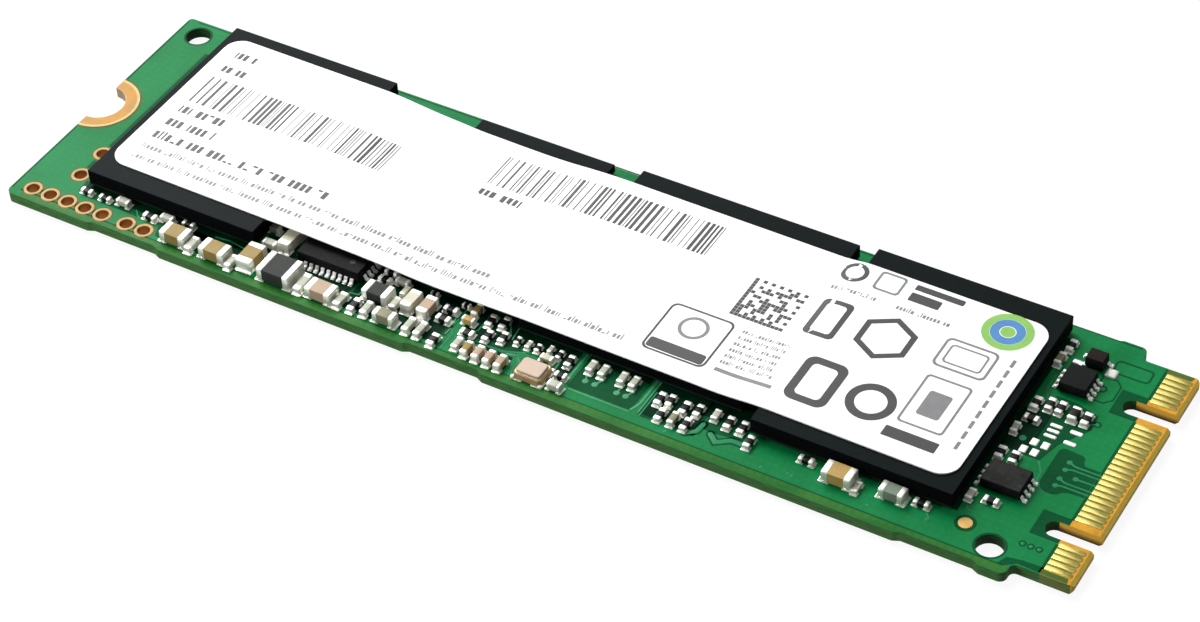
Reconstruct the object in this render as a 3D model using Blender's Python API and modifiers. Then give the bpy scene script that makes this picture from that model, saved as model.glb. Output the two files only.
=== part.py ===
# Gumstick solid state drive: a long narrow circuit board, 22 x 80 mm, with a
# two-key edge connector at the +X end and a half-round screw notch at the -X end.
# X runs along the board, Y across it, Z up. Z = 0 is the board's underside and
# the origin is under the middle of the board. All parts sit on the top side.
import bmesh
import bpy
from math import cos, pi, radians, sin
from mathutils import Matrix, Vector

MM = 0.001

# ---- driving dimensions, in millimetres -------------------------------------
BOARD_LENGTH = 80.0
BOARD_WIDTH = 22.0
BOARD_THICK = 0.8
TONGUE_LENGTH = 4.0          # edge connector tongue, from shoulder to tip
TONGUE_WIDTH = 19.85
SHOULDER_RADIUS = 0.5
NOTCH_RADIUS = 1.8           # half-round screw notch in the -X end
SCREW_LAND_RADIUS = 2.85     # plated land round it, for the screw's head
SCREW_LAND_RISE = 0.03
KEY_WIDTH = 1.3              # key slots in the connector tongue
KEY_DEPTH = 3.5
KEY_CENTRES = (-6.15, 5.625)
# shallow breakaway recesses in both long edges: start, end, depth
TABS = ((-33.0, -26.9, 0.21), (-7.2, -1.0, 0.24), (28.5, 34.3, 0.22))
TOOLING_HOLES = ((34.25, -9.25), (-38.2, 9.45))
TOOLING_HOLE_DIAMETER = 1.9
PLATED_HOLES = ((-38.45, -9.86), (-36.95, -9.86), (-35.45, -9.86), (-33.95, -9.86),
                (-32.45, -9.86), (-30.4, -9.86), (-28.9, -9.86),
                (-36.37, -7.15), (-36.37, -4.6))
PLATED_HOLE_DIAMETER = 0.84
END_CHAMFER = 0.22

CONTACT_PITCH = 0.5          # odd-numbered contacts lie on the top side
CONTACT_WIDTH = 0.35
CONTACT_START = 37.88
CONTACT_END = 39.6
CONTACT_RISE = 0.035
TOP_CONTACTS = tuple(range(1, 12, 2)) + tuple(range(21, 58, 2)) + tuple(range(67, 76, 2))

BALL_GAP = 0.05              # below the solder balls
BALL_HEIGHT = 0.17
SOLDER_GAP = 0.05            # below the small parts
LEAD_GAP = 0.05

# memory, controller and cache packages: centre, size, top height, ball grid
PACKAGES = {
    "memory_package_left": ((-28.05, 1.2), (14.0, 18.0), 2.24, (5, 7), 2.2),
    "memory_package_right": ((24.0, 1.25), (14.0, 18.0), 2.24, (5, 7), 2.2),
    "controller_package": ((7.37, 1.9), (16.6, 16.6), 2.02, (6, 6), 2.4),
    "cache_package": ((-8.58, 4.45), (10.75, 11.5), 1.63, (4, 4), 2.2),
}

LABEL_LENGTH = 64.9
LABEL_WIDTH = 15.2
LABEL_CENTRE = (-1.98, 1.155)
LABEL_TURN = -0.45           # degrees, it was stuck on a little askew
LABEL_CORNER = 1.35
LABEL_THICK = 0.1

# ceramic capacitors: centre x, y, long axis, length, width, height, colour
TAN = (0.50, 0.36, 0.19)
ROSE = (0.55, 0.40, 0.33)
OLIVE = (0.30, 0.29, 0.20)
GREY = (0.30, 0.32, 0.29)
WHITE = (0.62, 0.62, 0.58)
BLACK = (0.03, 0.03, 0.03)
CAPACITORS = {
    "bulk_capacitor_1": (-26.27, -9.58, "x", 2.05, 1.25, 0.85, TAN),
    "bulk_capacitor_2": (-22.92, -9.70, "x", 2.05, 1.25, 0.85, TAN),
    "bulk_capacitor_3": (-20.43, -9.02, "y", 2.05, 1.25, 0.85, TAN),
    "bulk_capacitor_4": (-14.27, -9.65, "x", 2.05, 1.25, 0.85, ROSE),
    "bulk_capacitor_5": (23.73, -8.62, "x", 2.05, 1.25, 0.85, TAN),
    "bulk_capacitor_6": (-19.0, -6.30, "y", 2.0, 0.95, 0.85, WHITE),
    "filter_capacitor_1": (-9.15, -9.77, "x", 1.65, 0.80, 0.80, OLIVE),
    "filter_capacitor_2": (-8.40, -7.70, "y", 1.65, 0.85, 0.80, OLIVE),
    "filter_capacitor_3": (-7.15, -7.70, "y", 1.65, 0.85, 0.80, ROSE),
    "filter_capacitor_4": (27.30, -8.38, "x", 1.70, 0.95, 0.75, GREY),
    "timing_capacitor_1": (-2.82, -9.72, "y", 1.2, 0.54, 0.55, TAN),
    "timing_capacitor_2": (-1.94, -9.74, "y", 1.2, 0.54, 0.55, ROSE),
    "timing_capacitor_3": (-1.08, -9.77, "y", 1.2, 0.54, 0.55, ROSE),
    "timing_capacitor_4": (-0.21, -9.80, "y", 1.2, 0.54, 0.55, ROSE),
    "bypass_capacitor_1": (-31.70, -8.32, "x", 1.05, 0.55, 0.45, WHITE),
    "bypass_capacitor_2": (-27.95, -8.32, "x", 1.05, 0.52, 0.45, WHITE),
    "bypass_capacitor_3": (-24.85, -9.75, "y", 1.30, 0.60, 0.50, WHITE),
    "bypass_capacitor_4": (-21.47, -9.92, "y", 1.20, 0.52, 0.45, WHITE),
    "bypass_capacitor_5": (-20.15, -7.20, "x", 1.10, 0.58, 0.50, WHITE),
    "bypass_capacitor_6": (-15.93, -9.47, "y", 1.70, 0.62, 0.50, WHITE),
    "bypass_capacitor_7": (-12.80, -9.62, "y", 1.30, 0.60, 0.45, WHITE),
    "bypass_capacitor_8": (-10.78, -9.52, "y", 1.25, 0.52, 0.45, WHITE),
    "bypass_capacitor_9": (-9.32, -8.30, "y", 1.05, 0.52, 0.50, WHITE),
    "bypass_capacitor_10": (-7.42, -9.55, "y", 1.35, 0.52, 0.45, WHITE),
    "bypass_capacitor_11": (-6.52, -9.55, "y", 1.35, 0.52, 0.45, WHITE),
    "bypass_capacitor_12": (-4.15, -7.35, "x", 0.95, 0.50, 0.50, TAN),
    "bypass_capacitor_13": (3.98, -9.95, "x", 1.0, 0.62, 0.50, WHITE),
    "bypass_capacitor_14": (5.20, -7.32, "y", 1.05, 0.50, 0.40, WHITE),
    "bypass_capacitor_15": (6.10, -7.32, "y", 1.05, 0.50, 0.40, WHITE),
    "bypass_capacitor_16": (7.50, -7.32, "y", 1.05, 0.50, 0.40, WHITE),
    "bypass_capacitor_17": (8.37, -7.32, "y", 1.05, 0.50, 0.40, WHITE),
    "bypass_capacitor_18": (34.28, 3.12, "y", 1.15, 0.62, 0.45, WHITE),
    "chip_resistor_1": (-29.17, -8.68, "x", 1.05, 0.52, 0.36, BLACK),
    "chip_resistor_2": (-11.75, -9.58, "y", 1.25, 0.52, 0.36, BLACK),
    "chip_resistor_3": (-5.30, -9.95, "y", 1.10, 0.56, 0.36, BLACK),
    "chip_resistor_4": (-5.77, -6.95, "x", 1.05, 0.52, 0.36, BLACK),
    "chip_resistor_5": (-5.77, -7.95, "x", 1.05, 0.52, 0.36, BLACK),
    "chip_resistor_6": (21.25, -8.25, "x", 1.05, 0.50, 0.36, BLACK),
    "chip_resistor_7": (29.17, -8.20, "x", 1.05, 0.50, 0.36, BLACK),
    "chip_resistor_8": (17.35, -8.55, "y", 1.05, 0.50, 0.36, BLACK),
}

# wire-wound chokes: centre, size x, y, height
CHOKES = {
    "power_choke_large": ((-17.85, -9.30), (2.60, 2.05), 1.0),
    "power_choke_small": ((-10.80, -8.02), (2.00, 1.25), 0.85),
}

# chips with bent leads: centre, body size, top height, leads on the +x side,
# on the -x side and on each y side, lead pitch, lead width, shift of the +x row,
# shift of the rows on the y sides, height where the leads come out
LEADED = {
    "power_management_chip": ((-15.2, -5.05), (5.0, 5.1), 1.78, 9, 9, 9, 0.465, 0.22, 0.0, 0.12, 1.36),
    "eight_pin_chip_far": ((33.3, 5.85), (1.95, 2.1), 1.62, 4, 4, 0, 0.5, 0.2, 0.0, 0.0, 1.16),
    "eight_pin_chip_near": ((32.93, -4.1), (2.75, 2.1), 1.62, 4, 4, 0, 0.535, 0.22, -0.03, 0.0, 1.16),
    "power_switch_transistor": ((33.6, 8.12), (1.3, 1.1), 1.72, 1, 2, 0, 0.9, 0.3, 0.3, 0.0, 1.3),
}

CRYSTAL_CENTRE = (2.05, -9.5)
CRYSTAL_BASE = (2.1, 1.7)
CRYSTAL_LID = (1.8, 1.4)
CRYSTAL_BASE_TOP = 1.28
CRYSTAL_LID_GAP = 0.03
CRYSTAL_TOP = 1.5
TINNED_PAD = ((34.78, 7.8), (0.8, 0.8), 0.2)   # a bare solder-covered land


def clear_scene():
    for obj in list(bpy.data.objects):
        bpy.data.objects.remove(obj, do_unlink=True)
    for coll in list(bpy.data.collections):
        bpy.data.collections.remove(coll)


def new_collection(name):
    coll = bpy.data.collections.new(name)
    bpy.context.scene.collection.children.link(coll)
    return coll


def material(name, colour, rough, metal=0.0):
    mat = bpy.data.materials.get(name)
    if mat is None:
        mat = bpy.data.materials.new(name)
        mat.use_nodes = True
        bsdf = mat.node_tree.nodes["Principled BSDF"]
        bsdf.inputs["Base Color"].default_value = (*colour, 1.0)
        bsdf.inputs["Roughness"].default_value = rough
        bsdf.inputs["Metallic"].default_value = metal
    return mat


def add_object(name, mesh, coll, mat=None):
    obj = bpy.data.objects.new(name, mesh)
    coll.objects.link(obj)
    if mat is not None:
        mesh.materials.append(mat)
    return obj


def boxes_object(name, boxes, coll, mat=None):
    """One object holding plain boxes, each given as centre and size in mm."""
    bm = bmesh.new()
    for centre, size in boxes:
        made = bmesh.ops.create_cube(bm, size=1.0)["verts"]
        bmesh.ops.scale(bm, vec=Vector(size) * MM, verts=made)
        bmesh.ops.translate(bm, vec=Vector(centre) * MM, verts=made)
    mesh = bpy.data.meshes.new(name)
    bm.to_mesh(mesh)
    bm.free()
    return add_object(name, mesh, coll, mat)


def curve_solid(name, outlines, thick, coll, mat=None, matrix=None, flat=False):
    """A flat outline, with any holes, filled and extruded to a thickness in mm.
    It is made a mesh, so that Booleans can take it."""
    curve = bpy.data.curves.new(name + "_outline", "CURVE")
    curve.dimensions = "2D"
    curve.fill_mode = "BOTH"
    curve.extrude = 0.0 if flat else thick * MM / 2
    for points in outlines:
        spline = curve.splines.new("POLY")
        spline.points.add(len(points) - 1)
        for index, (x, y) in enumerate(points):
            spline.points[index].co = (x * MM, y * MM, 0.0, 1.0)
        spline.use_cyclic_u = True
    helper = bpy.data.objects.new(name + "_outline", curve)
    bpy.context.scene.collection.objects.link(helper)
    if matrix is not None:
        helper.matrix_world = matrix
    bpy.context.view_layer.update()
    graph = bpy.context.evaluated_depsgraph_get()
    mesh = bpy.data.meshes.new_from_object(helper.evaluated_get(graph))
    place = helper.matrix_world.copy()
    bpy.data.objects.remove(helper, do_unlink=True)
    bm = bmesh.new()
    bm.from_mesh(mesh)
    bmesh.ops.remove_doubles(bm, verts=bm.verts, dist=1e-7)
    bmesh.ops.recalc_face_normals(bm, faces=bm.faces)
    bm.to_mesh(mesh)
    bm.free()
    mesh.name = name
    obj = add_object(name, mesh, coll, mat)
    obj.matrix_world = place
    return obj


def as_cutter(obj):
    obj.hide_render = True
    obj.display_type = "WIRE"
    return obj


def boolean(obj, operand, operation):
    mod = obj.modifiers.new(operation.lower() + "_" + operand.name, "BOOLEAN")
    mod.operation = operation
    mod.solver = "EXACT"
    mod.object = operand
    return mod


def bevel(obj, width, segments=1, angle=40.0):
    mod = obj.modifiers.new("bevel", "BEVEL")
    mod.width = width * MM
    mod.segments = segments
    mod.limit_method = "ANGLE"
    mod.angle_limit = radians(angle)
    return mod


def arc(cx, cy, radius, start, end, steps):
    return [(cx + radius * cos(radians(start + (end - start) * i / steps)),
             cy + radius * sin(radians(start + (end - start) * i / steps)))
            for i in range(steps + 1)]


def circle(cx, cy, diameter, sides):
    return [(cx + diameter / 2 * cos(2 * pi * i / sides),
             cy + diameter / 2 * sin(2 * pi * i / sides)) for i in range(sides)]


def board_outline():
    """The board's edge, counter-clockwise from the near -X corner."""
    half_l, half_w = BOARD_LENGTH / 2, BOARD_WIDTH / 2
    tongue = TONGUE_WIDTH / 2
    shoulder = half_l - TONGUE_LENGTH
    inner = 0.4
    slot = KEY_WIDTH / 2
    bottom_of_slot = half_l - KEY_DEPTH + slot
    points = arc(-half_l + 0.5, -half_w + 0.5, 0.5, 180, 270, 5)
    for start, end, depth in TABS:
        points += [(start, -half_w), (start + 0.5, -half_w + depth),
                   (end - 0.5, -half_w + depth), (end, -half_w)]
    points += arc(shoulder - SHOULDER_RADIUS, -half_w + SHOULDER_RADIUS, SHOULDER_RADIUS, -90, 0, 5)
    points += arc(shoulder + inner, -tongue - inner, inner, 180, 90, 4)
    points += arc(half_l - 0.3, -tongue + 0.3, 0.3, -90, 0, 4)
    for centre in KEY_CENTRES:
        points += [(half_l, centre - slot)]
        points += arc(bottom_of_slot, centre, slot, 270, 90, 12)
        points += [(half_l, centre + slot)]
    points += arc(half_l - 0.3, tongue - 0.3, 0.3, 0, 90, 4)
    points += arc(shoulder + inner, tongue + inner, inner, 270, 180, 4)
    points += arc(shoulder - SHOULDER_RADIUS, half_w - SHOULDER_RADIUS, SHOULDER_RADIUS, 0, 90, 5)
    for start, end, depth in reversed(TABS):
        points += [(end, half_w), (end - 0.5, half_w - depth),
                   (start + 0.5, half_w - depth), (start, half_w)]
    points += arc(-half_l + 0.3, half_w - 0.3, 0.3, 90, 180, 3)
    points += arc(-half_l, 0.0, NOTCH_RADIUS, 90, -90, 16)
    return points


def make_board(parts, cutters):
    outlines = [board_outline()]
    outlines += [circle(x, y, TOOLING_HOLE_DIAMETER, 24) for x, y in TOOLING_HOLES]
    outlines += [circle(x, y, PLATED_HOLE_DIAMETER, 12) for x, y in PLATED_HOLES]
    board = curve_solid("circuit_board", outlines, BOARD_THICK, parts,
                        material("solder_mask_green", (0.03, 0.25, 0.09), 0.35),
                        Matrix.Translation((0, 0, BOARD_THICK * MM / 2)))
    # contact lands of the edge connector, plated on top of the tongue
    width = CONTACT_END - CONTACT_START
    lands = [(((CONTACT_START + CONTACT_END) / 2, (38 - number) * CONTACT_PITCH / 2,
               BOARD_THICK + CONTACT_RISE - 0.1),
              (width, CONTACT_WIDTH, 0.2)) for number in TOP_CONTACTS]
    boolean(board, as_cutter(boxes_object("contact_lands", lands, cutters)), "UNION")
    # plated land round the screw notch
    end = -BOARD_LENGTH / 2
    ring = (arc(end, 0.0, SCREW_LAND_RADIUS, -89, 89, 16)
            + arc(end, 0.0, NOTCH_RADIUS + 0.06, 88, -88, 12))
    thick = 0.2
    land = curve_solid("screw_land", [ring], thick, cutters, matrix=Matrix.Translation(
        (0, 0, (BOARD_THICK + SCREW_LAND_RISE - thick / 2) * MM)))
    boolean(board, as_cutter(land), "UNION")
    # the tongue's end edge is chamfered above and below
    side = 1.2
    away = side / 2 ** 0.5 - END_CHAMFER / 2
    bm = bmesh.new()
    for height, sign in ((BOARD_THICK, 1), (0.0, -1)):
        made = bmesh.ops.create_cube(bm, size=1.0)["verts"]
        bmesh.ops.scale(bm, vec=Vector((side, 24.0, side)) * MM, verts=made)
        bmesh.ops.rotate(bm, cent=(0, 0, 0), matrix=Matrix.Rotation(radians(45), 3, "Y"), verts=made)
        bmesh.ops.translate(bm, verts=made, vec=Vector((
            BOARD_LENGTH / 2 + away / 2 ** 0.5, 0.0, height + sign * away / 2 ** 0.5)) * MM)
    mesh = bpy.data.meshes.new("end_chamfer")
    bm.to_mesh(mesh)
    bm.free()
    boolean(board, as_cutter(add_object("end_chamfer", mesh, cutters)), "DIFFERENCE")
    return board


def make_package(name, parts, cutters):
    """A moulded package with its solder balls underneath."""
    (cx, cy), (sx, sy), top, (columns, rows), pitch = PACKAGES[name]
    bottom = BOARD_THICK + BALL_GAP + BALL_HEIGHT
    body = boxes_object(name, [((cx, cy, (bottom + top) / 2), (sx, sy, top - bottom))], parts,
                        material("package_black", (0.02, 0.02, 0.025), 0.55))
    bm = bmesh.new()
    for column in range(columns):
        for row in range(rows):
            place = Vector((cx + (column - (columns - 1) / 2) * pitch,
                            cy + (row - (rows - 1) / 2) * pitch,
                            BOARD_THICK + BALL_GAP + (BALL_HEIGHT + 0.1) / 2)) * MM
            bmesh.ops.create_cone(bm, cap_ends=True, segments=6, radius1=0.22 * MM,
                                  radius2=0.22 * MM, depth=(BALL_HEIGHT + 0.1) * MM,
                                  matrix=Matrix.Translation(place))
    mesh = bpy.data.meshes.new(name + "_balls")
    bm.to_mesh(mesh)
    bm.free()
    boolean(body, as_cutter(add_object(name + "_balls", mesh, cutters)), "UNION")
    return body


def make_capacitor(name, parts, cutters):
    """A chip part: a body between two slightly larger end caps."""
    x, y, axis, length, width, height, colour = CAPACITORS[name]
    base = BOARD_THICK + SOLDER_GAP
    cap = 0.24 * length
    step = 0.025
    kind = "film_black" if colour is BLACK else "ceramic_%d" % round(colour[0] * 100)
    body = boxes_object(name, [((0, 0, base + height / 2),
                                (length - cap, width - 2 * step, height - 2 * step))], parts,
                        material(kind, colour, 0.5))
    ends = [((sign * (length - cap) / 2, 0, base + height / 2), (cap, width, height))
            for sign in (-1, 1)]
    caps = as_cutter(boxes_object(name + "_end_caps", ends, cutters))
    for obj in (body, caps):
        obj.location = (x * MM, y * MM, 0)
        if axis == "y":
            obj.rotation_euler = (0, 0, pi / 2)
    boolean(body, caps, "UNION")
    return body


def make_choke(name, parts, cutters):
    (x, y), (sx, sy), height = CHOKES[name]
    base = BOARD_THICK + SOLDER_GAP
    body = boxes_object(name, [((x, y, base + height / 2 + 0.03), (sx - 0.4, sy, height - 0.06))], parts,
                        material("choke_grey", (0.10, 0.10, 0.10), 0.6))
    ends = [((x + sign * (sx / 2 - 0.22), y, base + height / 2), (0.44, sy - 0.08, height))
            for sign in (-1, 1)]
    boolean(body, as_cutter(boxes_object(name + "_terminals", ends, cutters)), "UNION")
    return body


def lead_profile(shoulder, run, foot, thick):
    """Side view of one bent lead: out from the body, down, and out along the board."""
    low = BOARD_THICK + LEAD_GAP
    return [(-0.15, shoulder), (run, shoulder), (run + 0.12, low + thick),
            (run + 0.12 + foot, low + thick), (run + 0.12 + foot, low),
            (run, low), (run - 0.12, shoulder - thick), (-0.15, shoulder - thick)]


def make_leaded(name, parts, cutters):
    (cx, cy), (sx, sy), top, right, left, ends, pitch, width, shift_x, shift_y, shoulder = LEADED[name]
    base = BOARD_THICK + 0.1
    body = boxes_object(name, [((cx, cy, (base + top) / 2), (sx, sy, top - base))], parts,
                        material("package_black", (0.02, 0.02, 0.025), 0.55))
    run, foot, thick = 0.08, 0.15, 0.1
    pattern = curve_solid(name + "_lead", [lead_profile(shoulder, run, foot, thick)], width, cutters)
    sides = ((0, sx / 2, right, shift_x), (180, sx / 2, left, 0.0),
             (90, sy / 2, ends, -shift_y), (270, sy / 2, ends, shift_y))
    bm = bmesh.new()
    for angle, reach, count, shift in sides:
        for number in range(count):
            before = set(bm.verts)
            bm.from_mesh(pattern.data)
            fresh = [v for v in bm.verts if v not in before]
            turn = (Matrix.Translation(Vector((cx, cy, 0)) * MM)
                    @ Matrix.Rotation(radians(angle), 4, "Z")
                    @ Matrix.Translation(Vector((reach, (number - (count - 1) / 2) * pitch + shift, 0)) * MM)
                    @ Matrix.Rotation(pi / 2, 4, "X"))
            bmesh.ops.transform(bm, matrix=turn, verts=fresh)
    mesh = bpy.data.meshes.new(name + "_leads")
    bm.to_mesh(mesh)
    bm.free()
    bpy.data.objects.remove(pattern, do_unlink=True)
    boolean(body, as_cutter(add_object(name + "_leads", mesh, cutters)), "UNION")
    return body


def profile(knots, x):
    """Straight lines between (x, height) knots."""
    for (x0, z0), (x1, z1) in zip(knots, knots[1:]):
        if x <= x1:
            return z0 + (z1 - z0) * max(0.0, (x - x0) / (x1 - x0))
    return knots[-1][1]


# the label hangs between package tops: heights of its underside along the far
# edge, over the thin cache package, and along the near edge, over the lead chip
DRAPE_FAR = ((-36.0, 2.27), (-21.0, 2.27), (-19.8, 2.2), (-17.3, 1.96), (-14.4, 1.76),
             (-13.2, 1.67), (-7.2, 1.68), (-4.2, 1.88), (-1.0, 2.05), (15.5, 2.05),
             (16.6, 2.2), (17.0, 2.27), (32.0, 2.27))
DRAPE_NEAR = ((-36.0, 2.27), (-19.8, 2.265), (-17.3, 2.215), (-14.4, 2.16), (-11.4, 2.085),
              (-8.6, 1.93), (-4.2, 1.95), (-1.0, 2.05), (14.6, 2.06), (15.5, 2.17),
              (16.6, 2.25), (17.0, 2.27), (32.0, 2.27))


def drape(x, y):
    far = min(1.0, max(0.0, (y + 1.9) / 5.9))
    far = far * far * (3 - 2 * far)
    return profile(DRAPE_FAR, x) * far + profile(DRAPE_NEAR, x) * (1 - far)


def make_label(parts):
    """A thin printed film, rounded at the corners, draped over the packages."""
    hl, hw, r = LABEL_LENGTH / 2, LABEL_WIDTH / 2, LABEL_CORNER
    outline = (arc(hl - r, -hw + r, r, -90, 0, 5) + arc(hl - r, hw - r, r, 0, 90, 5)
               + arc(-hl + r, hw - r, r, 90, 180, 5) + arc(-hl + r, -hw + r, r, 180, 270, 5))
    label = curve_solid("product_label", [outline], 0, parts,
                        material("label_film", (0.85, 0.85, 0.85), 0.4), flat=True)
    bm = bmesh.new()
    bm.from_mesh(label.data)
    bmesh.ops.dissolve_faces(bm, faces=bm.faces)
    bmesh.ops.transform(bm, verts=bm.verts, matrix=(
        Matrix.Translation(Vector((*LABEL_CENTRE, 0)) * MM) @ Matrix.Rotation(radians(LABEL_TURN), 4, "Z")))
    stations = sorted({x for x, _ in DRAPE_FAR + DRAPE_NEAR if abs(x) < 31})
    cuts = [((x, 0, 0), (1, 0, 0)) for x in stations]
    cuts += [((0, y, 0), (0, 1, 0)) for y in (-1.9, 0.0, 2.0, 4.0)]
    for place, direction in cuts:
        bmesh.ops.bisect_plane(bm, geom=bm.verts[:] + bm.edges[:] + bm.faces[:], dist=1e-8,
                               plane_co=Vector(place) * MM, plane_no=direction)
    for vert in bm.verts:
        vert.co.z = drape(vert.co.x / MM, vert.co.y / MM) * MM
    bmesh.ops.recalc_face_normals(bm, faces=bm.faces)
    if sum(face.normal.z for face in bm.faces) < 0:
        bmesh.ops.reverse_faces(bm, faces=bm.faces)
    bm.to_mesh(label.data)
    bm.free()
    solid = label.modifiers.new("film_thickness", "SOLIDIFY")
    solid.thickness = LABEL_THICK * MM
    solid.offset = 1.0
    return label


def make_crystal(parts):
    x, y = CRYSTAL_CENTRE
    base = BOARD_THICK + SOLDER_GAP
    bx, by = CRYSTAL_BASE
    lx, ly = CRYSTAL_LID
    foot = boxes_object("crystal_base", [((x, y, (base + CRYSTAL_BASE_TOP) / 2),
                                          (bx, by, CRYSTAL_BASE_TOP - base))], parts,
                        material("crystal_ceramic", (0.45, 0.33, 0.20), 0.5))
    low = CRYSTAL_BASE_TOP + CRYSTAL_LID_GAP
    lid = boxes_object("crystal_lid", [((x, y, (low + CRYSTAL_TOP) / 2), (lx, ly, CRYSTAL_TOP - low))],
                       parts, material("crystal_metal", (0.75, 0.66, 0.62), 0.3, 1.0))
    bevel(lid, 0.06)
    return foot, lid


def make_tinned_pad(parts):
    (x, y), (sx, sy), height = TINNED_PAD
    pad = boxes_object("solder_bridge_land", [((x, y, BOARD_THICK + SOLDER_GAP + height / 2),
                                               (sx, sy, height))], parts,
                       material("solder", (0.8, 0.8, 0.78), 0.3, 1.0))
    bevel(pad, 0.08)
    return pad


clear_scene()
drive = new_collection("gumstick_solid_state_drive")
cutting = new_collection("cutters")
cutting.hide_render = True
make_board(drive, cutting)
for package in PACKAGES:
    make_package(package, drive, cutting)
make_label(drive)
for chip in LEADED:
    make_leaded(chip, drive, cutting)
for choke in CHOKES:
    make_choke(choke, drive, cutting)
for capacitor in CAPACITORS:
    make_capacitor(capacitor, drive, cutting)
make_crystal(drive)
make_tinned_pad(drive)
bpy.context.view_layer.update()
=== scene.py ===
# Looks for the gumstick solid state drive. Lengths in the builders are in
# millimetres in the row frame; every mesh is scaled to metres when it is made.
import math
import random
from math import cos, pi, radians, sin

import bmesh
import bpy
from mathutils import Matrix, Vector, noise


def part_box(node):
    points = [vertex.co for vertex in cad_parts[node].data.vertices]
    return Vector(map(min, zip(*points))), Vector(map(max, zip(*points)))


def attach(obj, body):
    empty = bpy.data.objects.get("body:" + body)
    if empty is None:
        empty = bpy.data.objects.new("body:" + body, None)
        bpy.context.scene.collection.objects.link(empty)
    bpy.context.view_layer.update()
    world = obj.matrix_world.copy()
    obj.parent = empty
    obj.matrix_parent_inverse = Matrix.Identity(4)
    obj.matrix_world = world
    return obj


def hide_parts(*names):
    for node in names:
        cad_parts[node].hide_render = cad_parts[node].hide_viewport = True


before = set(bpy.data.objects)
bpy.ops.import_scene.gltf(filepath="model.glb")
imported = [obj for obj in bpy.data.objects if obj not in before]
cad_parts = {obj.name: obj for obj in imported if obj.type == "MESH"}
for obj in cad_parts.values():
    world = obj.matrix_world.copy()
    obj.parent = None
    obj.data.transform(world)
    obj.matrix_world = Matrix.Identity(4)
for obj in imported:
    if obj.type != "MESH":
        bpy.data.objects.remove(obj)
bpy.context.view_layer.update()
MM = 0.001
TOP = 0.8            # the board's upper face
BODY = "root"

# =============================================================================
# materials
# =============================================================================


class Nodes:
    """A small helper round a material's node tree, in object coordinates."""

    def __init__(self, name):
        self.mat = bpy.data.materials.new(name)
        self.mat.use_nodes = True
        self.tree = self.mat.node_tree
        self.bsdf = self.tree.nodes["Principled BSDF"]
        self.coord = self.tree.nodes.new("ShaderNodeTexCoord")

    def new(self, kind, **values):
        node = self.tree.nodes.new(kind)
        for key, value in values.items():
            setattr(node, key, value)
        return node

    def link(self, a, b):
        self.tree.links.new(a, b)

    def mapped(self, scale):
        m = self.new("ShaderNodeMapping")
        m.inputs["Scale"].default_value = scale
        self.link(self.coord.outputs["Object"], m.inputs["Vector"])
        return m.outputs["Vector"]

    def noise(self, per_mm, detail=3.0, rough=0.55, stretch=(1, 1, 1), distortion=0.0):
        n = self.new("ShaderNodeTexNoise")
        n.inputs["Scale"].default_value = 1.0
        n.inputs["Detail"].default_value = detail
        n.inputs["Roughness"].default_value = rough
        n.inputs["Distortion"].default_value = distortion
        k = per_mm / MM
        self.link(self.mapped((k * stretch[0], k * stretch[1], k * stretch[2])), n.inputs["Vector"])
        return n.outputs["Fac"]

    def remap(self, value, a, b, lo, hi):
        r = self.new("ShaderNodeMapRange")
        r.clamp = True
        for socket, number in zip(("From Min", "From Max", "To Min", "To Max"), (a, b, lo, hi)):
            r.inputs[socket].default_value = number
        self.link(value, r.inputs["Value"])
        return r.outputs["Result"]

    def mix(self, fac, a, b):
        m = self.new("ShaderNodeMix", data_type="RGBA")
        self.link(fac, m.inputs["Factor"])
        for socket, value in ((m.inputs[6], a), (m.inputs[7], b)):
            if isinstance(value, tuple):
                socket.default_value = (*value, 1.0)
            else:
                self.link(value, socket)
        return m.outputs[2]

    def math(self, op, a, b):
        m = self.new("ShaderNodeMath", operation=op)
        for socket, value in zip(m.inputs, (a, b)):
            if isinstance(value, (int, float)):
                socket.default_value = value
            else:
                self.link(value, socket)
        return m.outputs[0]

    def xyz(self):
        s = self.new("ShaderNodeSeparateXYZ")
        self.link(self.coord.outputs["Object"], s.inputs[0])
        return s.outputs

    def bump(self, height, strength, distance_mm):
        b = self.new("ShaderNodeBump")
        b.inputs["Strength"].default_value = strength
        b.inputs["Distance"].default_value = distance_mm * MM
        self.link(height, b.inputs["Height"])
        self.link(b.outputs["Normal"], self.bsdf.inputs["Normal"])

    def set(self, **values):
        for key, value in values.items():
            socket = self.bsdf.inputs[key.replace("_", " ")]
            if isinstance(value, tuple):
                socket.default_value = (*value, 1.0) if len(value) == 3 and socket.type == "RGBA" else value
            elif isinstance(value, (int, float)):
                socket.default_value = value
            else:
                self.link(value, socket)
        return self


def lin(r, g, b):
    """sRGB 0-255 to linear."""
    return tuple((c / 255 / 12.92) if c / 255 <= 0.04045 else ((c / 255 + 0.055) / 1.055) ** 2.4 for c in (r, g, b))


def tint(colour, k):
    return tuple(max(0.0, min(1.0, c * k)) for c in colour)


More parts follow.
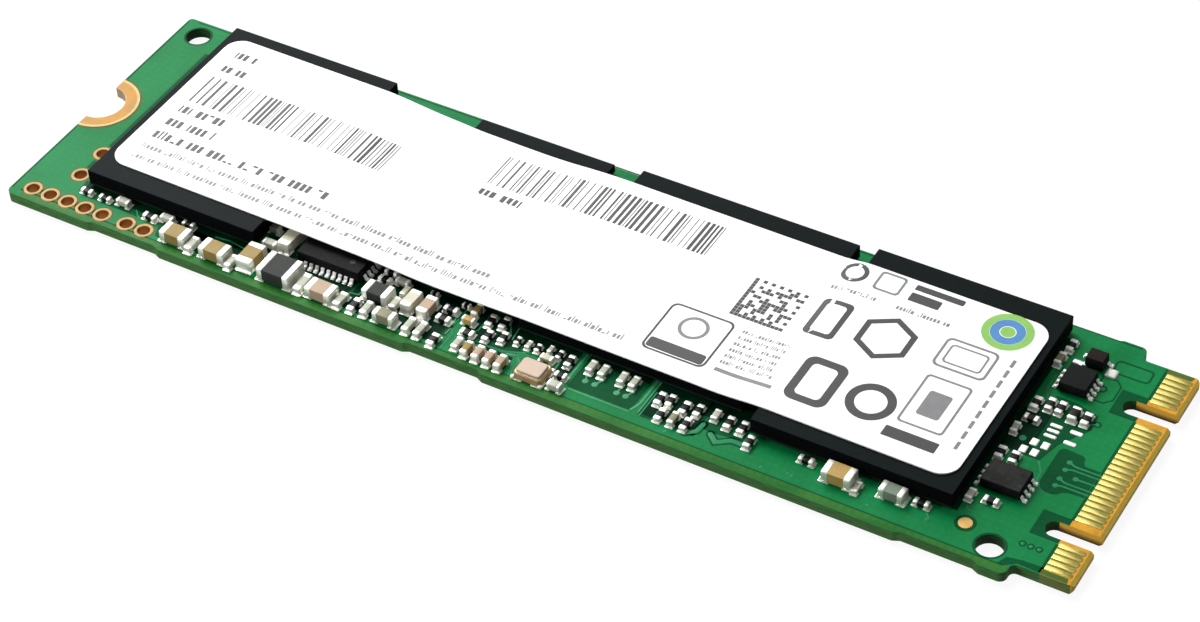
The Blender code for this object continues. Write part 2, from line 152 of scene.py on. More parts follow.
def simple(name, colour, rough, metal=0.0, grain=6.0, vary=0.10, rough_vary=0.08,
           bump=0.15, bump_mm=0.01, bump_per_mm=14.0, spec=0.5, stretch=(1, 1, 1), coat=0.0):
    """A finish with soft colour drift, uneven gloss and a fine surface."""
    n = Nodes(name)
    broad = n.noise(grain * 0.12, 2.0)
    fine = n.noise(grain, 4.0, stretch=stretch)
    drift = n.math("ADD", n.math("MULTIPLY", broad, 0.5), n.math("MULTIPLY", fine, 0.5))
    fac = n.remap(drift, 0.35, 0.65, 0.0, 1.0)
    n.set(Base_Color=n.mix(fac, tint(colour, 1 - vary), tint(colour, 1 + vary)),
          Roughness=n.remap(fine, 0.3, 0.7, max(0.03, rough - rough_vary), min(1.0, rough + rough_vary)),
          Metallic=metal, Specular_IOR_Level=spec)
    if coat:
        n.set(Coat_Weight=coat, Coat_Roughness=0.12)
    n.bump(n.noise(bump_per_mm, 3.0, stretch=stretch), bump, bump_mm)
    return n.mat


def solder_mask(name, light, dark, rough=0.36, spec=0.055):
    """Green lacquer over copper and glass: cloudy colour, faint weave, soft orange peel."""
    n = Nodes(name)
    cloud = n.noise(0.22, 3.0, distortion=0.4)
    fine = n.noise(5.0, 4.0)
    weave_x = n.new("ShaderNodeTexWave", wave_type="BANDS", bands_direction="X")
    weave_x.inputs["Scale"].default_value = 0.55
    weave_x.inputs["Distortion"].default_value = 1.5
    weave_y = n.new("ShaderNodeTexWave", wave_type="BANDS", bands_direction="Y")
    weave_y.inputs["Scale"].default_value = 0.55
    weave_y.inputs["Distortion"].default_value = 1.5
    n.link(n.mapped((1 / MM,) * 3), weave_x.inputs["Vector"])
    n.link(n.mapped((1 / MM,) * 3), weave_y.inputs["Vector"])
    weave = n.math("MULTIPLY", weave_x.outputs["Fac"], weave_y.outputs["Fac"])
    shade = n.math("ADD", n.math("MULTIPLY", cloud, 0.7),
                   n.math("ADD", n.math("MULTIPLY", fine, 0.22), n.math("MULTIPLY", weave, 0.08)))
    n.set(Base_Color=n.mix(n.remap(shade, 0.38, 0.62, 0.0, 1.0), dark, light),
          Roughness=n.remap(fine, 0.3, 0.7, rough - 0.06, rough + 0.08),
          Specular_IOR_Level=spec)
    n.bump(n.math("ADD", n.math("MULTIPLY", n.noise(3.0, 2.0), 0.7), n.math("MULTIPLY", weave, 0.3)), 0.22, 0.02)
    return n.mat


def laminate_edge(name, light, dark):
    """The routed edge: glass layers lie flat, so the streaks run along the board."""
    n = Nodes(name)
    layers = n.noise(9.0, 3.0, stretch=(0.12, 0.12, 1.0))
    fuzz = n.noise(16.0, 4.0)
    shade = n.math("ADD", n.math("MULTIPLY", layers, 0.65), n.math("MULTIPLY", fuzz, 0.35))
    n.set(Base_Color=n.mix(n.remap(shade, 0.35, 0.65, 0.0, 1.0), dark, light),
          Roughness=n.remap(fuzz, 0.3, 0.7, 0.5, 0.75), Specular_IOR_Level=0.06)
    n.bump(shade, 0.5, 0.03)
    return n.mat


def slot_wall(name, upper, lower):
    """The routed wall of a key slot, with painted shade: lit laminate above, darkening towards the underside where
    shade falls.
    """
    n = Nodes(name)
    layers = n.noise(9.0, 3.0, stretch=(0.12, 0.12, 1.0))
    painted_shade_drop = n.remap(n.math("ADD", n.xyz()[2], n.math("MULTIPLY", layers, 0.2 * MM)), 0.20 * MM, 0.62 * MM, 0.0, 1.0)
    n.set(Base_Color=n.mix(painted_shade_drop, lower, upper), Roughness=0.65, Specular_IOR_Level=0.06)
    n.bump(layers, 0.4, 0.03)
    return n.mat


def gold(name, light, dark, rough=0.24, metal=1.0, spec=0.5):
    n = Nodes(name)
    broad = n.noise(1.1, 3.0)
    scratch = n.noise(10.0, 3.0, stretch=(0.12, 1.0, 1.0))
    shade = n.math("ADD", n.math("MULTIPLY", broad, 0.6), n.math("MULTIPLY", scratch, 0.4))
    n.set(Base_Color=n.mix(n.remap(shade, 0.35, 0.65, 0.0, 1.0), dark, light), Metallic=metal,
          Roughness=n.remap(scratch, 0.3, 0.7, rough - 0.06, rough + 0.10), Specular_IOR_Level=spec)
    n.bump(n.math("ADD", n.math("MULTIPLY", scratch, 0.4), n.math("MULTIPLY", n.noise(6.0, 3.0), 0.6)), 0.25, 0.012)
    return n.mat


MASK = solder_mask("mask_over_copper", (0.006, 0.197, 0.058), (0.002, 0.156, 0.040))
# dark lacquer of the copper-free zones, also used for painted shade beside the packages
MASK_DARK = solder_mask("mask_over_laminate_and_painted_shade", (0.002, 0.082, 0.027), (0.001, 0.060, 0.018), 0.36, 0.032)
MASK_TRACE = solder_mask("mask_over_trace", (0.036, 0.240, 0.108), (0.020, 0.195, 0.080))
MASK_LIT = solder_mask("mask_over_bright_copper", (0.095, 0.320, 0.175), (0.065, 0.265, 0.130))
MASK_RIM = solder_mask("mask_at_rim", (0.037, 0.160, 0.026), (0.012, 0.118, 0.016))
MASK_OLIVE = solder_mask("mask_beside_contacts", (0.080, 0.145, 0.034), (0.050, 0.110, 0.020))
EDGE = laminate_edge("laminate_edge", (0.084, 0.220, 0.064), (0.035, 0.122, 0.030))
# bore walls of the tooling holes: a darker copy of the edge laminate, painted shade inside the bore
HOLE_WALL = laminate_edge("laminate_bore_painted_shade", (0.020, 0.075, 0.022), (0.004, 0.024, 0.008))
EDGE_OLIVE = laminate_edge("laminate_edge_olive", (0.20, 0.26, 0.08), (0.11, 0.16, 0.04))
AMBER = laminate_edge("laminate_amber", (0.70, 0.36, 0.040), (0.46, 0.22, 0.020))
# laminate between the contacts, darkened as painted shade of their side walls
AMBER_GAP_SHADE = laminate_edge("laminate_between_contacts_painted_shade", (0.26, 0.23, 0.035), (0.17, 0.15, 0.018))
AMBER_TIP = laminate_edge("laminate_tip", (1.0, 0.74, 0.14), (0.85, 0.55, 0.08))
# slot walls: amber laminate darkened towards the underside as painted shade; the end wall's dark green copy is painted
# shade too
SLOT_WALL = slot_wall("slot_wall_amber_painted_shade", (0.82, 0.48, 0.062), (0.13, 0.075, 0.014))
SLOT_END_SHADED = slot_wall("slot_end_painted_shade", (0.020, 0.070, 0.008), (0.006, 0.026, 0.006))
GOLD = gold("contact_gold", (0.54, 0.455, 0.135), (0.42, 0.335, 0.085), 0.30, 0.6)
GOLD_LAND = gold("land_gold", (0.57, 0.29, 0.060), (0.40, 0.235, 0.098), 0.45, 0.0, 0.06)
DOT = gold("dot_gold", (0.86, 0.53, 0.18), (0.68, 0.41, 0.13), 0.45, 0.0, 0.06)
COPPER = gold("hole_copper", (0.40, 0.14, 0.022), (0.24, 0.070, 0.009), 0.45, 0.8)
RING = gold("hole_ring", (0.58, 0.405, 0.19), (0.43, 0.27, 0.12), 0.45, 0.0, 0.06)
RIM_CREAM = gold("land_rim", (0.66, 0.50, 0.23), (0.54, 0.40, 0.17), 0.45, 0.0, 0.06)
MASK_SHADE = solder_mask("mask_in_the_shade", (0.0010, 0.030, 0.012), (0.0004, 0.020, 0.008), 0.36, 0.02)
HALO = solder_mask("mask_by_plating", (0.095, 0.130, 0.035), (0.050, 0.100, 0.022))
SOLDER = simple("solder", (0.86, 0.86, 0.80), 0.32, 0.6, grain=5.0, vary=0.05, bump=0.35, bump_mm=0.02, bump_per_mm=7.0)
SOLDER_FLAT = simple("solder_on_land", (0.95, 0.96, 0.90), 0.32, 0.35, grain=5.0, vary=0.04, bump=0.3, bump_mm=0.015, bump_per_mm=7.0)
TIN = simple("tin_plate", (0.84, 0.84, 0.765), 0.38, 0.6, grain=7.0, vary=0.07, bump=0.35, bump_mm=0.014, bump_per_mm=9.0)
# a whiter, less metallic copy of the tin plate: painted light for end caps that sit in shade
TIN_MATT_LIT = simple("tin_matt_painted_light", (0.97, 0.97, 0.92), 0.5, 0.1, grain=7.0, vary=0.06, bump=0.35, bump_mm=0.014, bump_per_mm=9.0)
LEAD = simple("lead_frame", (0.95, 0.95, 0.93), 0.35, 0.15, grain=6.0, vary=0.04, bump=0.2)
MOULD = simple("mould_black", (0.0028, 0.0058, 0.0062), 0.45, grain=11.0, vary=0.16, rough_vary=0.06, bump=0.45, bump_mm=0.012, bump_per_mm=11.0, spec=0.036)
# sawn package sides: rougher mould, and darker as painted shade on the side faces
MOULD_SIDE_SHADED = simple("mould_sawn_side_painted_shade", (0.0025, 0.0030, 0.0036), 0.8, grain=11.0, vary=0.2, rough_vary=0.06, bump=0.5, bump_mm=0.02, bump_per_mm=9.0, spec=0.02, stretch=(1, 1, 0.3))
MOULD_SOFT = simple("mould_charcoal", (0.0062, 0.0062, 0.0067), 0.5, grain=2.2, vary=0.45, bump=0.4, bump_mm=0.010, bump_per_mm=12.0, spec=0.05)
SUBSTRATE = simple("package_substrate", lin(22, 34, 26), 0.5, grain=8.0, vary=0.12, spec=0.1)
FERRITE = simple("ferrite", (0.026, 0.029, 0.026), 0.55, grain=12.0, vary=0.14, bump=0.5, bump_mm=0.02, bump_per_mm=10.0, spec=0.14)
CERAMICS = {
    "tan": simple("ceramic_tan", (0.285, 0.205, 0.066), 0.42, grain=8.0, vary=0.08, bump=0.2, spec=0.12),
    "amber": simple("ceramic_amber", (0.42, 0.28, 0.092), 0.40, grain=8.0, vary=0.08, bump=0.2, spec=0.12),
    "rose": simple("ceramic_rose", (0.43, 0.315, 0.22), 0.42, grain=8.0, vary=0.07, bump=0.2, spec=0.12),
    "olive": simple("ceramic_olive", lin(132, 130, 104), 0.45, grain=8.0, vary=0.08, bump=0.2, spec=0.15),
    "pale": simple("ceramic_pale", lin(196, 194, 172), 0.45, grain=8.0, vary=0.07, bump=0.2, spec=0.15),
    "grey": simple("ceramic_grey", lin(118, 130, 114), 0.45, grain=8.0, vary=0.08, bump=0.2, spec=0.15),
    "white": simple("ceramic_white", lin(176, 179, 164), 0.45, grain=8.0, vary=0.06, bump=0.2, spec=0.15),
    "black": simple("resistor_film", (0.006, 0.0062, 0.0068), 0.4, grain=9.0, vary=0.12, bump=0.2, spec=0.14),
}
LID = simple("crystal_lid", (0.46, 0.36, 0.285), 0.42, 0.1, grain=8.0, vary=0.05, bump=0.25, stretch=(0.3, 1, 1), spec=0.15)
LID_RIM = gold("crystal_rim", (0.62, 0.46, 0.24), (0.46, 0.33, 0.16), 0.35, 0.6, 0.3)
CERAMIC_BASE = simple("crystal_ceramic", lin(158, 135, 100), 0.5, grain=9.0, spec=0.15)
FILM = simple("label_film", (0.90, 0.905, 0.91), 0.42, grain=9.0, vary=0.012, rough_vary=0.05, bump=0.10, bump_mm=0.008, bump_per_mm=8.0, spec=0.35)
INK = simple("print_black", lin(30, 30, 32), 0.5, grain=14.0, vary=0.22, bump=0.05)
INK_GREY = simple("print_grey", lin(112, 112, 114), 0.5, grain=14.0, vary=0.12, bump=0.05)
INK_BLUE = simple("print_blue", lin(52, 120, 178), 0.5, grain=8.0, vary=0.10, bump=0.05)
INK_GREEN = simple("print_green", lin(122, 178, 72), 0.5, grain=8.0, vary=0.10, bump=0.05)

# =============================================================================
# mesh helpers, in millimetres
# =============================================================================


def make(name, bm, mats, replaces=(), sharp=38.0):
    """Turns a millimetre bmesh into a piece that rides on the drive."""
    bmesh.ops.scale(bm, vec=(MM, MM, MM), verts=bm.verts)
    mesh = bpy.data.meshes.new(name)
    bm.to_mesh(mesh)
    bm.free()
    for m in mats:
        mesh.materials.append(m)
    obj = bpy.data.objects.new(name, mesh)
    bpy.context.scene.collection.objects.link(obj)
    mesh.shade_smooth()
    mesh.set_sharp_from_angle(angle=radians(sharp))
    flat = obj.modifiers.new("flat_faces_stay_flat", "WEIGHTED_NORMAL")
    flat.keep_sharp = True
    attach(obj, BODY)
    if replaces:
        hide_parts(*replaces)
    return obj


def paint(bm, before, index):
    for f in bm.faces:
        if f not in before:
            f.material_index = index


def rbox(bm, centre, size, r=0.03, seg=2, mi=0):
    """A box with rounded edges."""
    before = set(bm.faces)
    vs = bmesh.ops.create_cube(bm, size=1.0)["verts"]
    bmesh.ops.scale(bm, vec=Vector(size), verts=vs)
    bmesh.ops.translate(bm, vec=Vector(centre), verts=vs)
    edges = list({e for v in vs for e in v.link_edges})
    if r > 0:
        bmesh.ops.bevel(bm, geom=edges, offset=min(r, min(size) * 0.49), segments=seg, profile=0.5, affect="EDGES")
    paint(bm, before, mi)


def inset(points, d):
    """The outline moved inwards by d. Points run counter-clockwise."""
    out = []
    count = len(points)
    for i in range(count):
        a, b, c = Vector(points[i - 1]), Vector(points[i]), Vector(points[(i + 1) % count])
        e1, e2 = (b - a).normalized(), (c - b).normalized()
        n1, n2 = Vector((-e1.y, e1.x)), Vector((-e2.y, e2.x))
        m = n1 + n2
        if m.length < 1e-6:
            m = n1
        m.normalize()
        k = max(0.35, m.dot(n1))
        out.append(tuple(b + m * (d / k)))
    return out


def loops(bm, rings, mi=0, close=True):
    """Skins a stack of equal-length 3D loops and caps both ends."""
    made = [[bm.verts.new(p) for p in ring] for ring in rings]
    count = len(made[0])
    for a, b in zip(made, made[1:]):
        for i in range(count):
            f = bm.faces.new((a[i], a[(i + 1) % count], b[(i + 1) % count], b[i]))
            f.material_index = mi
    if close:
        bm.faces.new(list(reversed(made[0]))).material_index = mi
        bm.faces.new(made[-1]).material_index = mi
    return made


def prism(bm, points, z0, z1, mi=0, r=0.0):
    """A flat outline raised to a plate with a softened upper edge."""
    rings = [[(x, y, z0) for x, y in points]]
    if r > 0:
        rings.append([(x, y, z1 - r) for x, y in points])
        rings.append([(x, y, z1 - 0.3 * r) for x, y in inset(points, 0.3 * r)])
        rings.append([(x, y, z1) for x, y in inset(points, r)])
    else:
        rings.append([(x, y, z1) for x, y in points])
    loops(bm, rings, mi)


def pillow(bm, points, z0, height, reach, mi=0, steps=4):
    """A dome of solder on an outline: it swells in from the edge."""
    rings = [[(x, y, z0 - 0.02) for x, y in points]]
    for k in range(steps + 1):
        a = k / steps * pi / 2
        rings.append([(x, y, z0 + height * sin(a)) for x, y in inset(points, reach * (1 - cos(a)))])
    loops(bm, rings, mi)


def arc(cx, cy, r, a0, a1, n):
    return [(cx + r * cos(radians(a0 + (a1 - a0) * i / n)), cy + r * sin(radians(a0 + (a1 - a0) * i / n)))
            for i in range(n + 1)]


def circle(cx, cy, r, n=32):
    return [(cx + r * cos(2 * pi * i / n), cy + r * sin(2 * pi * i / n)) for i in range(n)]


def rrect(x0, y0, x1, y1, r=0.05, n=4):
    r = min(r, (x1 - x0) * 0.499, (y1 - y0) * 0.499)
    if r <= 0:
        return [(x0, y0), (x1, y0), (x1, y1), (x0, y1)]
    return (arc(x1 - r, y0 + r, r, -90, 0, n) + arc(x1 - r, y1 - r, r, 0, 90, n)
            + arc(x0 + r, y1 - r, r, 90, 180, n) + arc(x0 + r, y0 + r, r, 180, 270, n))


def stroke(path, width, ends=5):
    """The outline of a line of that width along a path, with round ends."""
    path = [Vector(p) for p in path]
    half = width / 2
    left, right = [], []
    for i, p in enumerate(path):
        if i == 0:
            d = (path[1] - p).normalized()
            n, k = Vector((-d.y, d.x)), 1.0
        elif i == len(path) - 1:
            d = (p - path[i - 1]).normalized()
            n, k = Vector((-d.y, d.x)), 1.0
        else:
            d1, d2 = (p - path[i - 1]).normalized(), (path[i + 1] - p).normalized()
            n = Vector((-(d1 + d2).y, (d1 + d2).x)).normalized()
            k = max(0.5, n.dot(Vector((-d1.y, d1.x))))
        left.append(p + n * (half / k))
        right.append(p - n * (half / k))
    out = [tuple(p) for p in right]
    if ends:
        d = (path[-1] - path[-2]).normalized()
        base = math.degrees(math.atan2(d.y, d.x))
        out += arc(path[-1].x, path[-1].y, half, base - 90, base + 90, ends)[1:-1]
    out += [tuple(p) for p in reversed(left)]
    if ends:
        d = (path[0] - path[1]).normalized()
        base = math.degrees(math.atan2(d.y, d.x))
        out += arc(path[0].x, path[0].y, half, base - 90, base + 90, ends)[1:-1]
    return out


def filled(outlines, z0, z1):
    """A millimetre mesh of outlines with holes, as a plate. Returned as bmesh."""
    curve = bpy.data.curves.new("outline", "CURVE")
    curve.dimensions = "2D"
    curve.fill_mode = "BOTH"
    curve.extrude = (z1 - z0) / 2
    for points in outlines:
        spline = curve.splines.new("POLY")
        spline.points.add(len(points) - 1)
        for index, (x, y) in enumerate(points):
            spline.points[index].co = (x, y, 0.0, 1.0)
        spline.use_cyclic_u = True
    helper = bpy.data.objects.new("outline", curve)
    bpy.context.scene.collection.objects.link(helper)
    bpy.context.view_layer.update()
    mesh = bpy.data.meshes.new_from_object(helper.evaluated_get(bpy.context.evaluated_depsgraph_get()))
    bpy.data.objects.remove(helper, do_unlink=True)
    bm = bmesh.new()
    bm.from_mesh(mesh)
    bmesh.ops.remove_doubles(bm, verts=bm.verts, dist=1e-5)
    bmesh.ops.translate(bm, vec=(0, 0, (z0 + z1) / 2), verts=bm.verts)
    bmesh.ops.recalc_face_normals(bm, faces=bm.faces)
    return bm


def merge(target, source):
    data = bpy.data.meshes.new("tmp")
    source.to_mesh(data)
    source.free()
    target.from_mesh(data)
    bpy.data.meshes.remove(data)


def turned(bm, profile, cx, cy, steps=40, mi=0):
    """A closed (radius, z) profile turned about an upright axis."""
    rings = [[(cx + r * cos(2 * pi * k / steps), cy + r * sin(2 * pi * k / steps), z) for r, z in profile]
             for k in range(steps)]
    made = [[bm.verts.new(p) for p in ring] for ring in rings]
    count = len(profile)
    for k in range(steps):
        a, b = made[k], made[(k + 1) % steps]
        for i in range(count):
            f = bm.faces.new((a[i], b[i], b[(i + 1) % count], a[(i + 1) % count]))
            f.material_index = mi


# =============================================================================
# circuit board
# =============================================================================
HALF_L, HALF_W = 40.0, 11.0
TONGUE = 19.85 / 2
SHOULDER = 36.0
NOTCH = 1.8
KEYS = (-6.15, 5.625)
KEY_HALF = 0.65
KEY_END = HALF_L - 3.5 + KEY_HALF
TABS = ((-33.0, -26.9, 0.21), (-7.2, -1.0, 0.24), (28.5, 34.3, 0.22))
HOLES = ((34.25, -9.25), (-38.2, 9.45))
VIAS = ((-38.45, -9.86), (-36.95, -9.86), (-35.45, -9.86), (-33.95, -9.86), (-32.45, -9.86),
        (-30.4, -9.86), (-28.9, -9.86), (-36.37, -7.15), (-36.37, -4.6))
MASK_END = 37.8


def board_outline():
    p = arc(-HALF_L + 0.5, -HALF_W + 0.5, 0.5, 180, 270, 12)
    for a, b, d in TABS:
        p += [(a, -HALF_W), (a + 0.18, -HALF_W + 0.35 * d), (a + 0.5, -HALF_W + d),
              (b - 0.5, -HALF_W + d), (b - 0.18, -HALF_W + 0.35 * d), (b, -HALF_W)]
    p += arc(SHOULDER - 0.5, -HALF_W + 0.5, 0.5, -90, 0, 12)
    p += arc(SHOULDER + 0.4, -TONGUE - 0.4, 0.4, 180, 90, 10)
    p += arc(HALF_L - 0.3, -TONGUE + 0.3, 0.3, -90, 0, 8)
    for c in KEYS:
        p += [(HALF_L, c - KEY_HALF)] + arc(KEY_END, c, KEY_HALF, 270, 90, 28) + [(HALF_L, c + KEY_HALF)]
    p += arc(HALF_L - 0.3, TONGUE - 0.3, 0.3, 0, 90, 8)
    p += arc(SHOULDER + 0.4, TONGUE + 0.4, 0.4, 270, 180, 10)
    p += arc(SHOULDER - 0.5, HALF_W - 0.5, 0.5, 0, 90, 12)
    for a, b, d in reversed(TABS):
        p += [(b, HALF_W), (b - 0.18, HALF_W - 0.35 * d), (b - 0.5, HALF_W - d),
              (a + 0.5, HALF_W - d), (a + 0.18, HALF_W - 0.35 * d), (a, HALF_W)]
    p += arc(-HALF_L + 0.3, HALF_W - 0.3, 0.3, 90, 180, 8)
    p += arc(-HALF_L, 0.0, NOTCH, 90, -90, 40)
    return p


def make_board():
    outlines = [board_outline()]
    outlines += [circle(x, y, 0.93, 48) for x, y in HOLES]
    outlines += [circle(x, y, 0.49, 32) for x, y in VIAS]
    bm = filled(outlines, 0.0, TOP)
    # the tongue's tip is chamfered above and below
    for z, x_cut in ((TOP, 1), (0.0, -1)):
        normal = Vector((1, 0, 1 if x_cut > 0 else -1)).normalized()
        point = Vector((HALF_L - 0.22, 0, z))
        cut = bmesh.ops.bisect_plane(bm, geom=bm.verts[:] + bm.edges[:] + bm.faces[:], dist=1e-6,
                                     plane_co=point, plane_no=normal, clear_outer=True)
        edges = [g for g in cut["geom_cut"] if isinstance(g, bmesh.types.BMEdge)]
        bmesh.ops.holes_fill(bm, edges=edges, sides=0)
    bmesh.ops.bisect_plane(bm, geom=bm.verts[:] + bm.edges[:] + bm.faces[:], dist=1e-6,
                           plane_co=(MASK_END, 0, 0), plane_no=(1, 0, 0))
    bmesh.ops.recalc_face_normals(bm, faces=bm.faces)
    for f in bm.faces:
        c, n = f.calc_center_median(), f.normal
        if abs(n.z) > 0.9:
            f.material_index = 2 if c.x > MASK_END else 0
        elif c.x > 39.65 and n.x > 0.4:
            f.material_index = 3
        elif c.x > 36.4 and abs(c.y) < 9:
            # the slot's end wall takes the darker painted-shade copy
            f.material_index = 5 if c.x < 37.35 else 4
        elif min(math.hypot(c.x - x, c.y - y) for x, y in HOLES) < 1.0:
            # tooling hole walls: painted shade
            f.material_index = 7
        else:
            f.material_index = 6 if c.x > 37.3 else 1
    return make("circuit_board", bm, [MASK, EDGE, AMBER, AMBER_TIP, SLOT_WALL, SLOT_END_SHADED, EDGE_OLIVE, HOLE_WALL], ["circuit_board"], 30)


make_board()

# ---- copper picture under the mask ------------------------------------------
# dark zones, where the copper is left away, lie just above the green face; some of them are painted shade beside the
# packages and at the lacquer's edge by the contacts
ZONES = []


def zone(points):
    ZONES.append(points)


def key_zone(c, lo, hi, x0):
    """No copper round a key slot: an area with the slot cut out of it."""
    return ([(MASK_END, lo)] + [(MASK_END, c - KEY_HALF - 0.02)]
            + arc(KEY_END, c, KEY_HALF + 0.02, 270, 90, 20) + [(MASK_END, c + KEY_HALF + 0.02)]
            + [(MASK_END, hi)] + arc(x0 + 0.1, hi - 0.1, 0.1, 90, 180, 3) + arc(x0 + 0.1, lo + 0.1, 0.1, 180, 270, 3))


def make_zones():
    bm = bmesh.new()
    h0, h1 = TOP - 0.01, TOP + 0.004

    def add(points, lift=0.0):
        prism(bm, points, h0, h1 + lift)

    # strip before the contacts, in three stretches between the key slots: painted shade along the lacquer's edge
    for lo, hi in ((-TONGUE + 0.1, KEYS[0] - 1.1), (KEYS[0] + 1.15, KEYS[1] - 1.1), (KEYS[1] + 1.15, TONGUE - 0.1)):
        add([(MASK_END - 0.12, lo), (MASK_END + 0.09, lo), (MASK_END + 0.09, hi), (MASK_END - 0.12, hi)])
    sub = filled([key_zone(KEYS[1], 4.55, 6.85, 35.95), key_zone(KEYS[0], -7.15, -4.95, 35.85)], h0, h1)
    # high-speed pairs' clearance
    blob = (arc(35.05, -0.05, 0.42, 90, 180, 6) + [(34.60, -0.9), (34.62, -2.0)]
            + arc(35.48, -2.75, 0.86, 175, 270, 10) + arc(35.62, -2.95, 0.66, 275, 335, 6)
            + [(36.6, -3.05), (MASK_END - 0.16, -2.98), (MASK_END - 0.16, -0.5), (36.6, -0.5)]
            + arc(36.0, -0.12, 0.42, -10, 90, 6))
    add(blob)
    for mesh in (sub,):
        data = bpy.data.meshes.new("tmp")
        mesh.to_mesh(data)
        mesh.free()
        bm.from_mesh(data)
        bpy.data.meshes.remove(data)
    # block under the four filters, and the dense routing by the left of it
    add(rrect(4.5, -9.38, 9.25, -5.9, 0.08))
    add([(-3.6, -8.9), (-2.6, -8.55), (-1.0, -8.5), (0.1, -8.1), (1.5, -7.9), (2.2, -6.2), (-4.4, -6.0), (-3.9, -7.6)])
    add(rrect(9.8, -9.55, 13.9, -6.2, 0.1))
    add([(13.95, -8.6), (14.6, -8.75), (16.9, -8.45), (16.9, -7.0), (13.95, -6.8)])
    # painted shade on the board beside the right side of the left memory package
    add([(-21.0, -8.0), (-19.6, -8.1), (-19.6, -4.5), (-21.0, -4.5)])
    add(rrect(-12.9, -9.1, -4.9, -5.6, 0.1))
    add([(31.2, 2.5), (32.6, 4.4), (34.0, 4.35), (35.6, 3.9), (35.7, 2.6), (34.4, 0.5), (33.9, -1.3), (31.2, -1.4)])
    add([(36.5, -9.4), (37.85, -9.35), (37.85, -9.85), (36.3, -9.8), (35.65, -10.3), (35.2, -10.3), (35.5, -9.6)])
    # painted shade: the contact shadow along the near side of the left memory package
    add([(-35.6, -7.5), (-35.5, -8.5), (-34.6, -8.85), (-31.2, -8.9), (-28.3, -8.95), (-27.9, -9.95), (-25.9, -10.1),
         (-24.6, -10.1), (-22.3, -10.15), (-21.5, -10.1), (-21.2, -7.4), (-35.6, -7.4)])
    # painted shade beside the end package, clear of the two plated holes
    add([(-35.0, -7.15), (-35.0, 8.0), (-36.53, 8.0)] + arc(-36.37, -4.6, 0.84, 100, -100, 24) + arc(-36.37, -7.15, 0.84, 100, 8, 14))
    # clearance rings and outlines
    rings = [(circle(32.14, -8.25, 0.70, 40), circle(32.14, -8.25, 0.455, 40)),
             (circle(34.25, -9.25, 1.08, 48), circle(34.25, -9.25, 0.935, 48)),
             (circle(-38.2, 9.45, 1.08, 48), circle(-38.2, 9.45, 0.935, 48)),
             (circle(34.8, 6.3, 0.33, 28), circle(34.8, 6.3, 0.19, 28)),
             (circle(35.82, 3.2, 0.27, 24), circle(35.82, 3.2, 0.16, 24))]
    for x in (35.9, 36.45, 37.0):
        rings.append((circle(x, -8.16, 0.25, 24), circle(x, -8.16, 0.14, 24)))
    pad_out = rrect(34.62, 7.95, 37.24, 9.24, 0.35, 6)
    pad_in = rrect(34.76, 8.09, 37.10, 9.10, 0.25, 6)
    loop_out = [(34.35, 5.08), (35.35, 5.08), (35.86, 5.6), (35.86, 7.0), (35.4, 7.48), (34.35, 7.48)]
    loop_in = inset(loop_out, 0.13)
    for outer, inner in rings + [(pad_out, pad_in)]:
        ring = filled([outer, inner], h0, h1)
        data = bpy.data.meshes.new("tmp")
        ring.to_mesh(data)
        ring.free()
        bm.from_mesh(data)
        bpy.data.meshes.remove(data)
    ring = filled([loop_out, loop_in], h0, h1)
    data = bpy.data.meshes.new("tmp")
    ring.to_mesh(data)
    ring.free()
    bm.from_mesh(data)
    bpy.data.meshes.remove(data)
    # outlined supply strips by the right of the filters
    for path, w in (([(13.3, -9.5), (13.85, -9.05), (13.95, -8.3)], 0.62), ([(14.75, -8.85), (15.35, -9.35), (16.2, -8.75), (17.1, -8.75)], 0.62)):
        add(stroke(path, w))
    for lo, hi in ((-10.4, -3.0), (3.0, 10.6)):
        add([(-39.97, lo), (-39.84, lo), (-39.84, hi), (-39.97, hi)])
    # the copper ends short of the long edges
    for y0, y1 in ((-10.38, -10.28), (10.78, 10.88)):
        add([(-39.2, y0), (SHOULDER - 0.4, y0), (SHOULDER - 0.4, y1), (-39.2, y1)])
    return make("unpoured_and_painted_shade_zones", bm, [MASK_DARK])


make_zones()


def make_shade():
    """Painted shade: nearly black lacquer close to and under the packages and the film, where shadow falls."""
    total = bmesh.new()
    h0, h1 = TOP - 0.01, TOP + 0.006
    for points in ([(-13.0, -5.9), (-5.0, -6.0), (-4.7, -7.2), (-4.0, -7.9), (-3.2, -8.4), (-2.0, -8.1), (-0.9, -8.2), (-0.2, -7.5),
                    (3.9, -7.5), (3.9, -3.0), (-13.0, -3.0)],
                   [(-12.7, -9.9), (-8.9, -10.15), (-7.9, -9.9), (-5.3, -10.0), (-5.3, -7.6), (-4.9, -5.9), (-12.9, -5.7), (-12.7, -8.3)],
                   rrect(4.5, -6.75, 9.2, -3.0, 0.05), rrect(9.85, -9.35, 13.6, -3.0, 0.05), rrect(13.5, -7.6, 16.9, -3.0, 0.05),
                   [(-4.1, -9.95), (0.1, -9.95), (0.1, -8.75), (-3.4, -8.6), (-4.1, -9.0)],
                   rrect(3.1, -9.7, 4.05, -7.4, 0.05),
                   [(-35.3, -7.4), (-35.2, -8.2), (-31.2, -8.35), (-27.9, -8.45), (-24.5, -8.9), (-22.3, -8.4), (-21.3, -8.3), (-21.3, -7.3)],
                   rrect(-25.85, -9.8, -24.35, -8.2, 0.05), rrect(-22.5, -9.9, -21.5, -8.0, 0.05), rrect(-21.0, -9.6, -12.9, -6.2, 0.05),
                   rrect(31.15, -1.2, 33.0, 2.6, 0.05), rrect(30.9, -7.55, 31.24, 9.6, 0.05)):
        merge(total, filled([points], h0, h1))
    return make("painted_shade_patches", total, [MASK_SHADE])


make_shade()


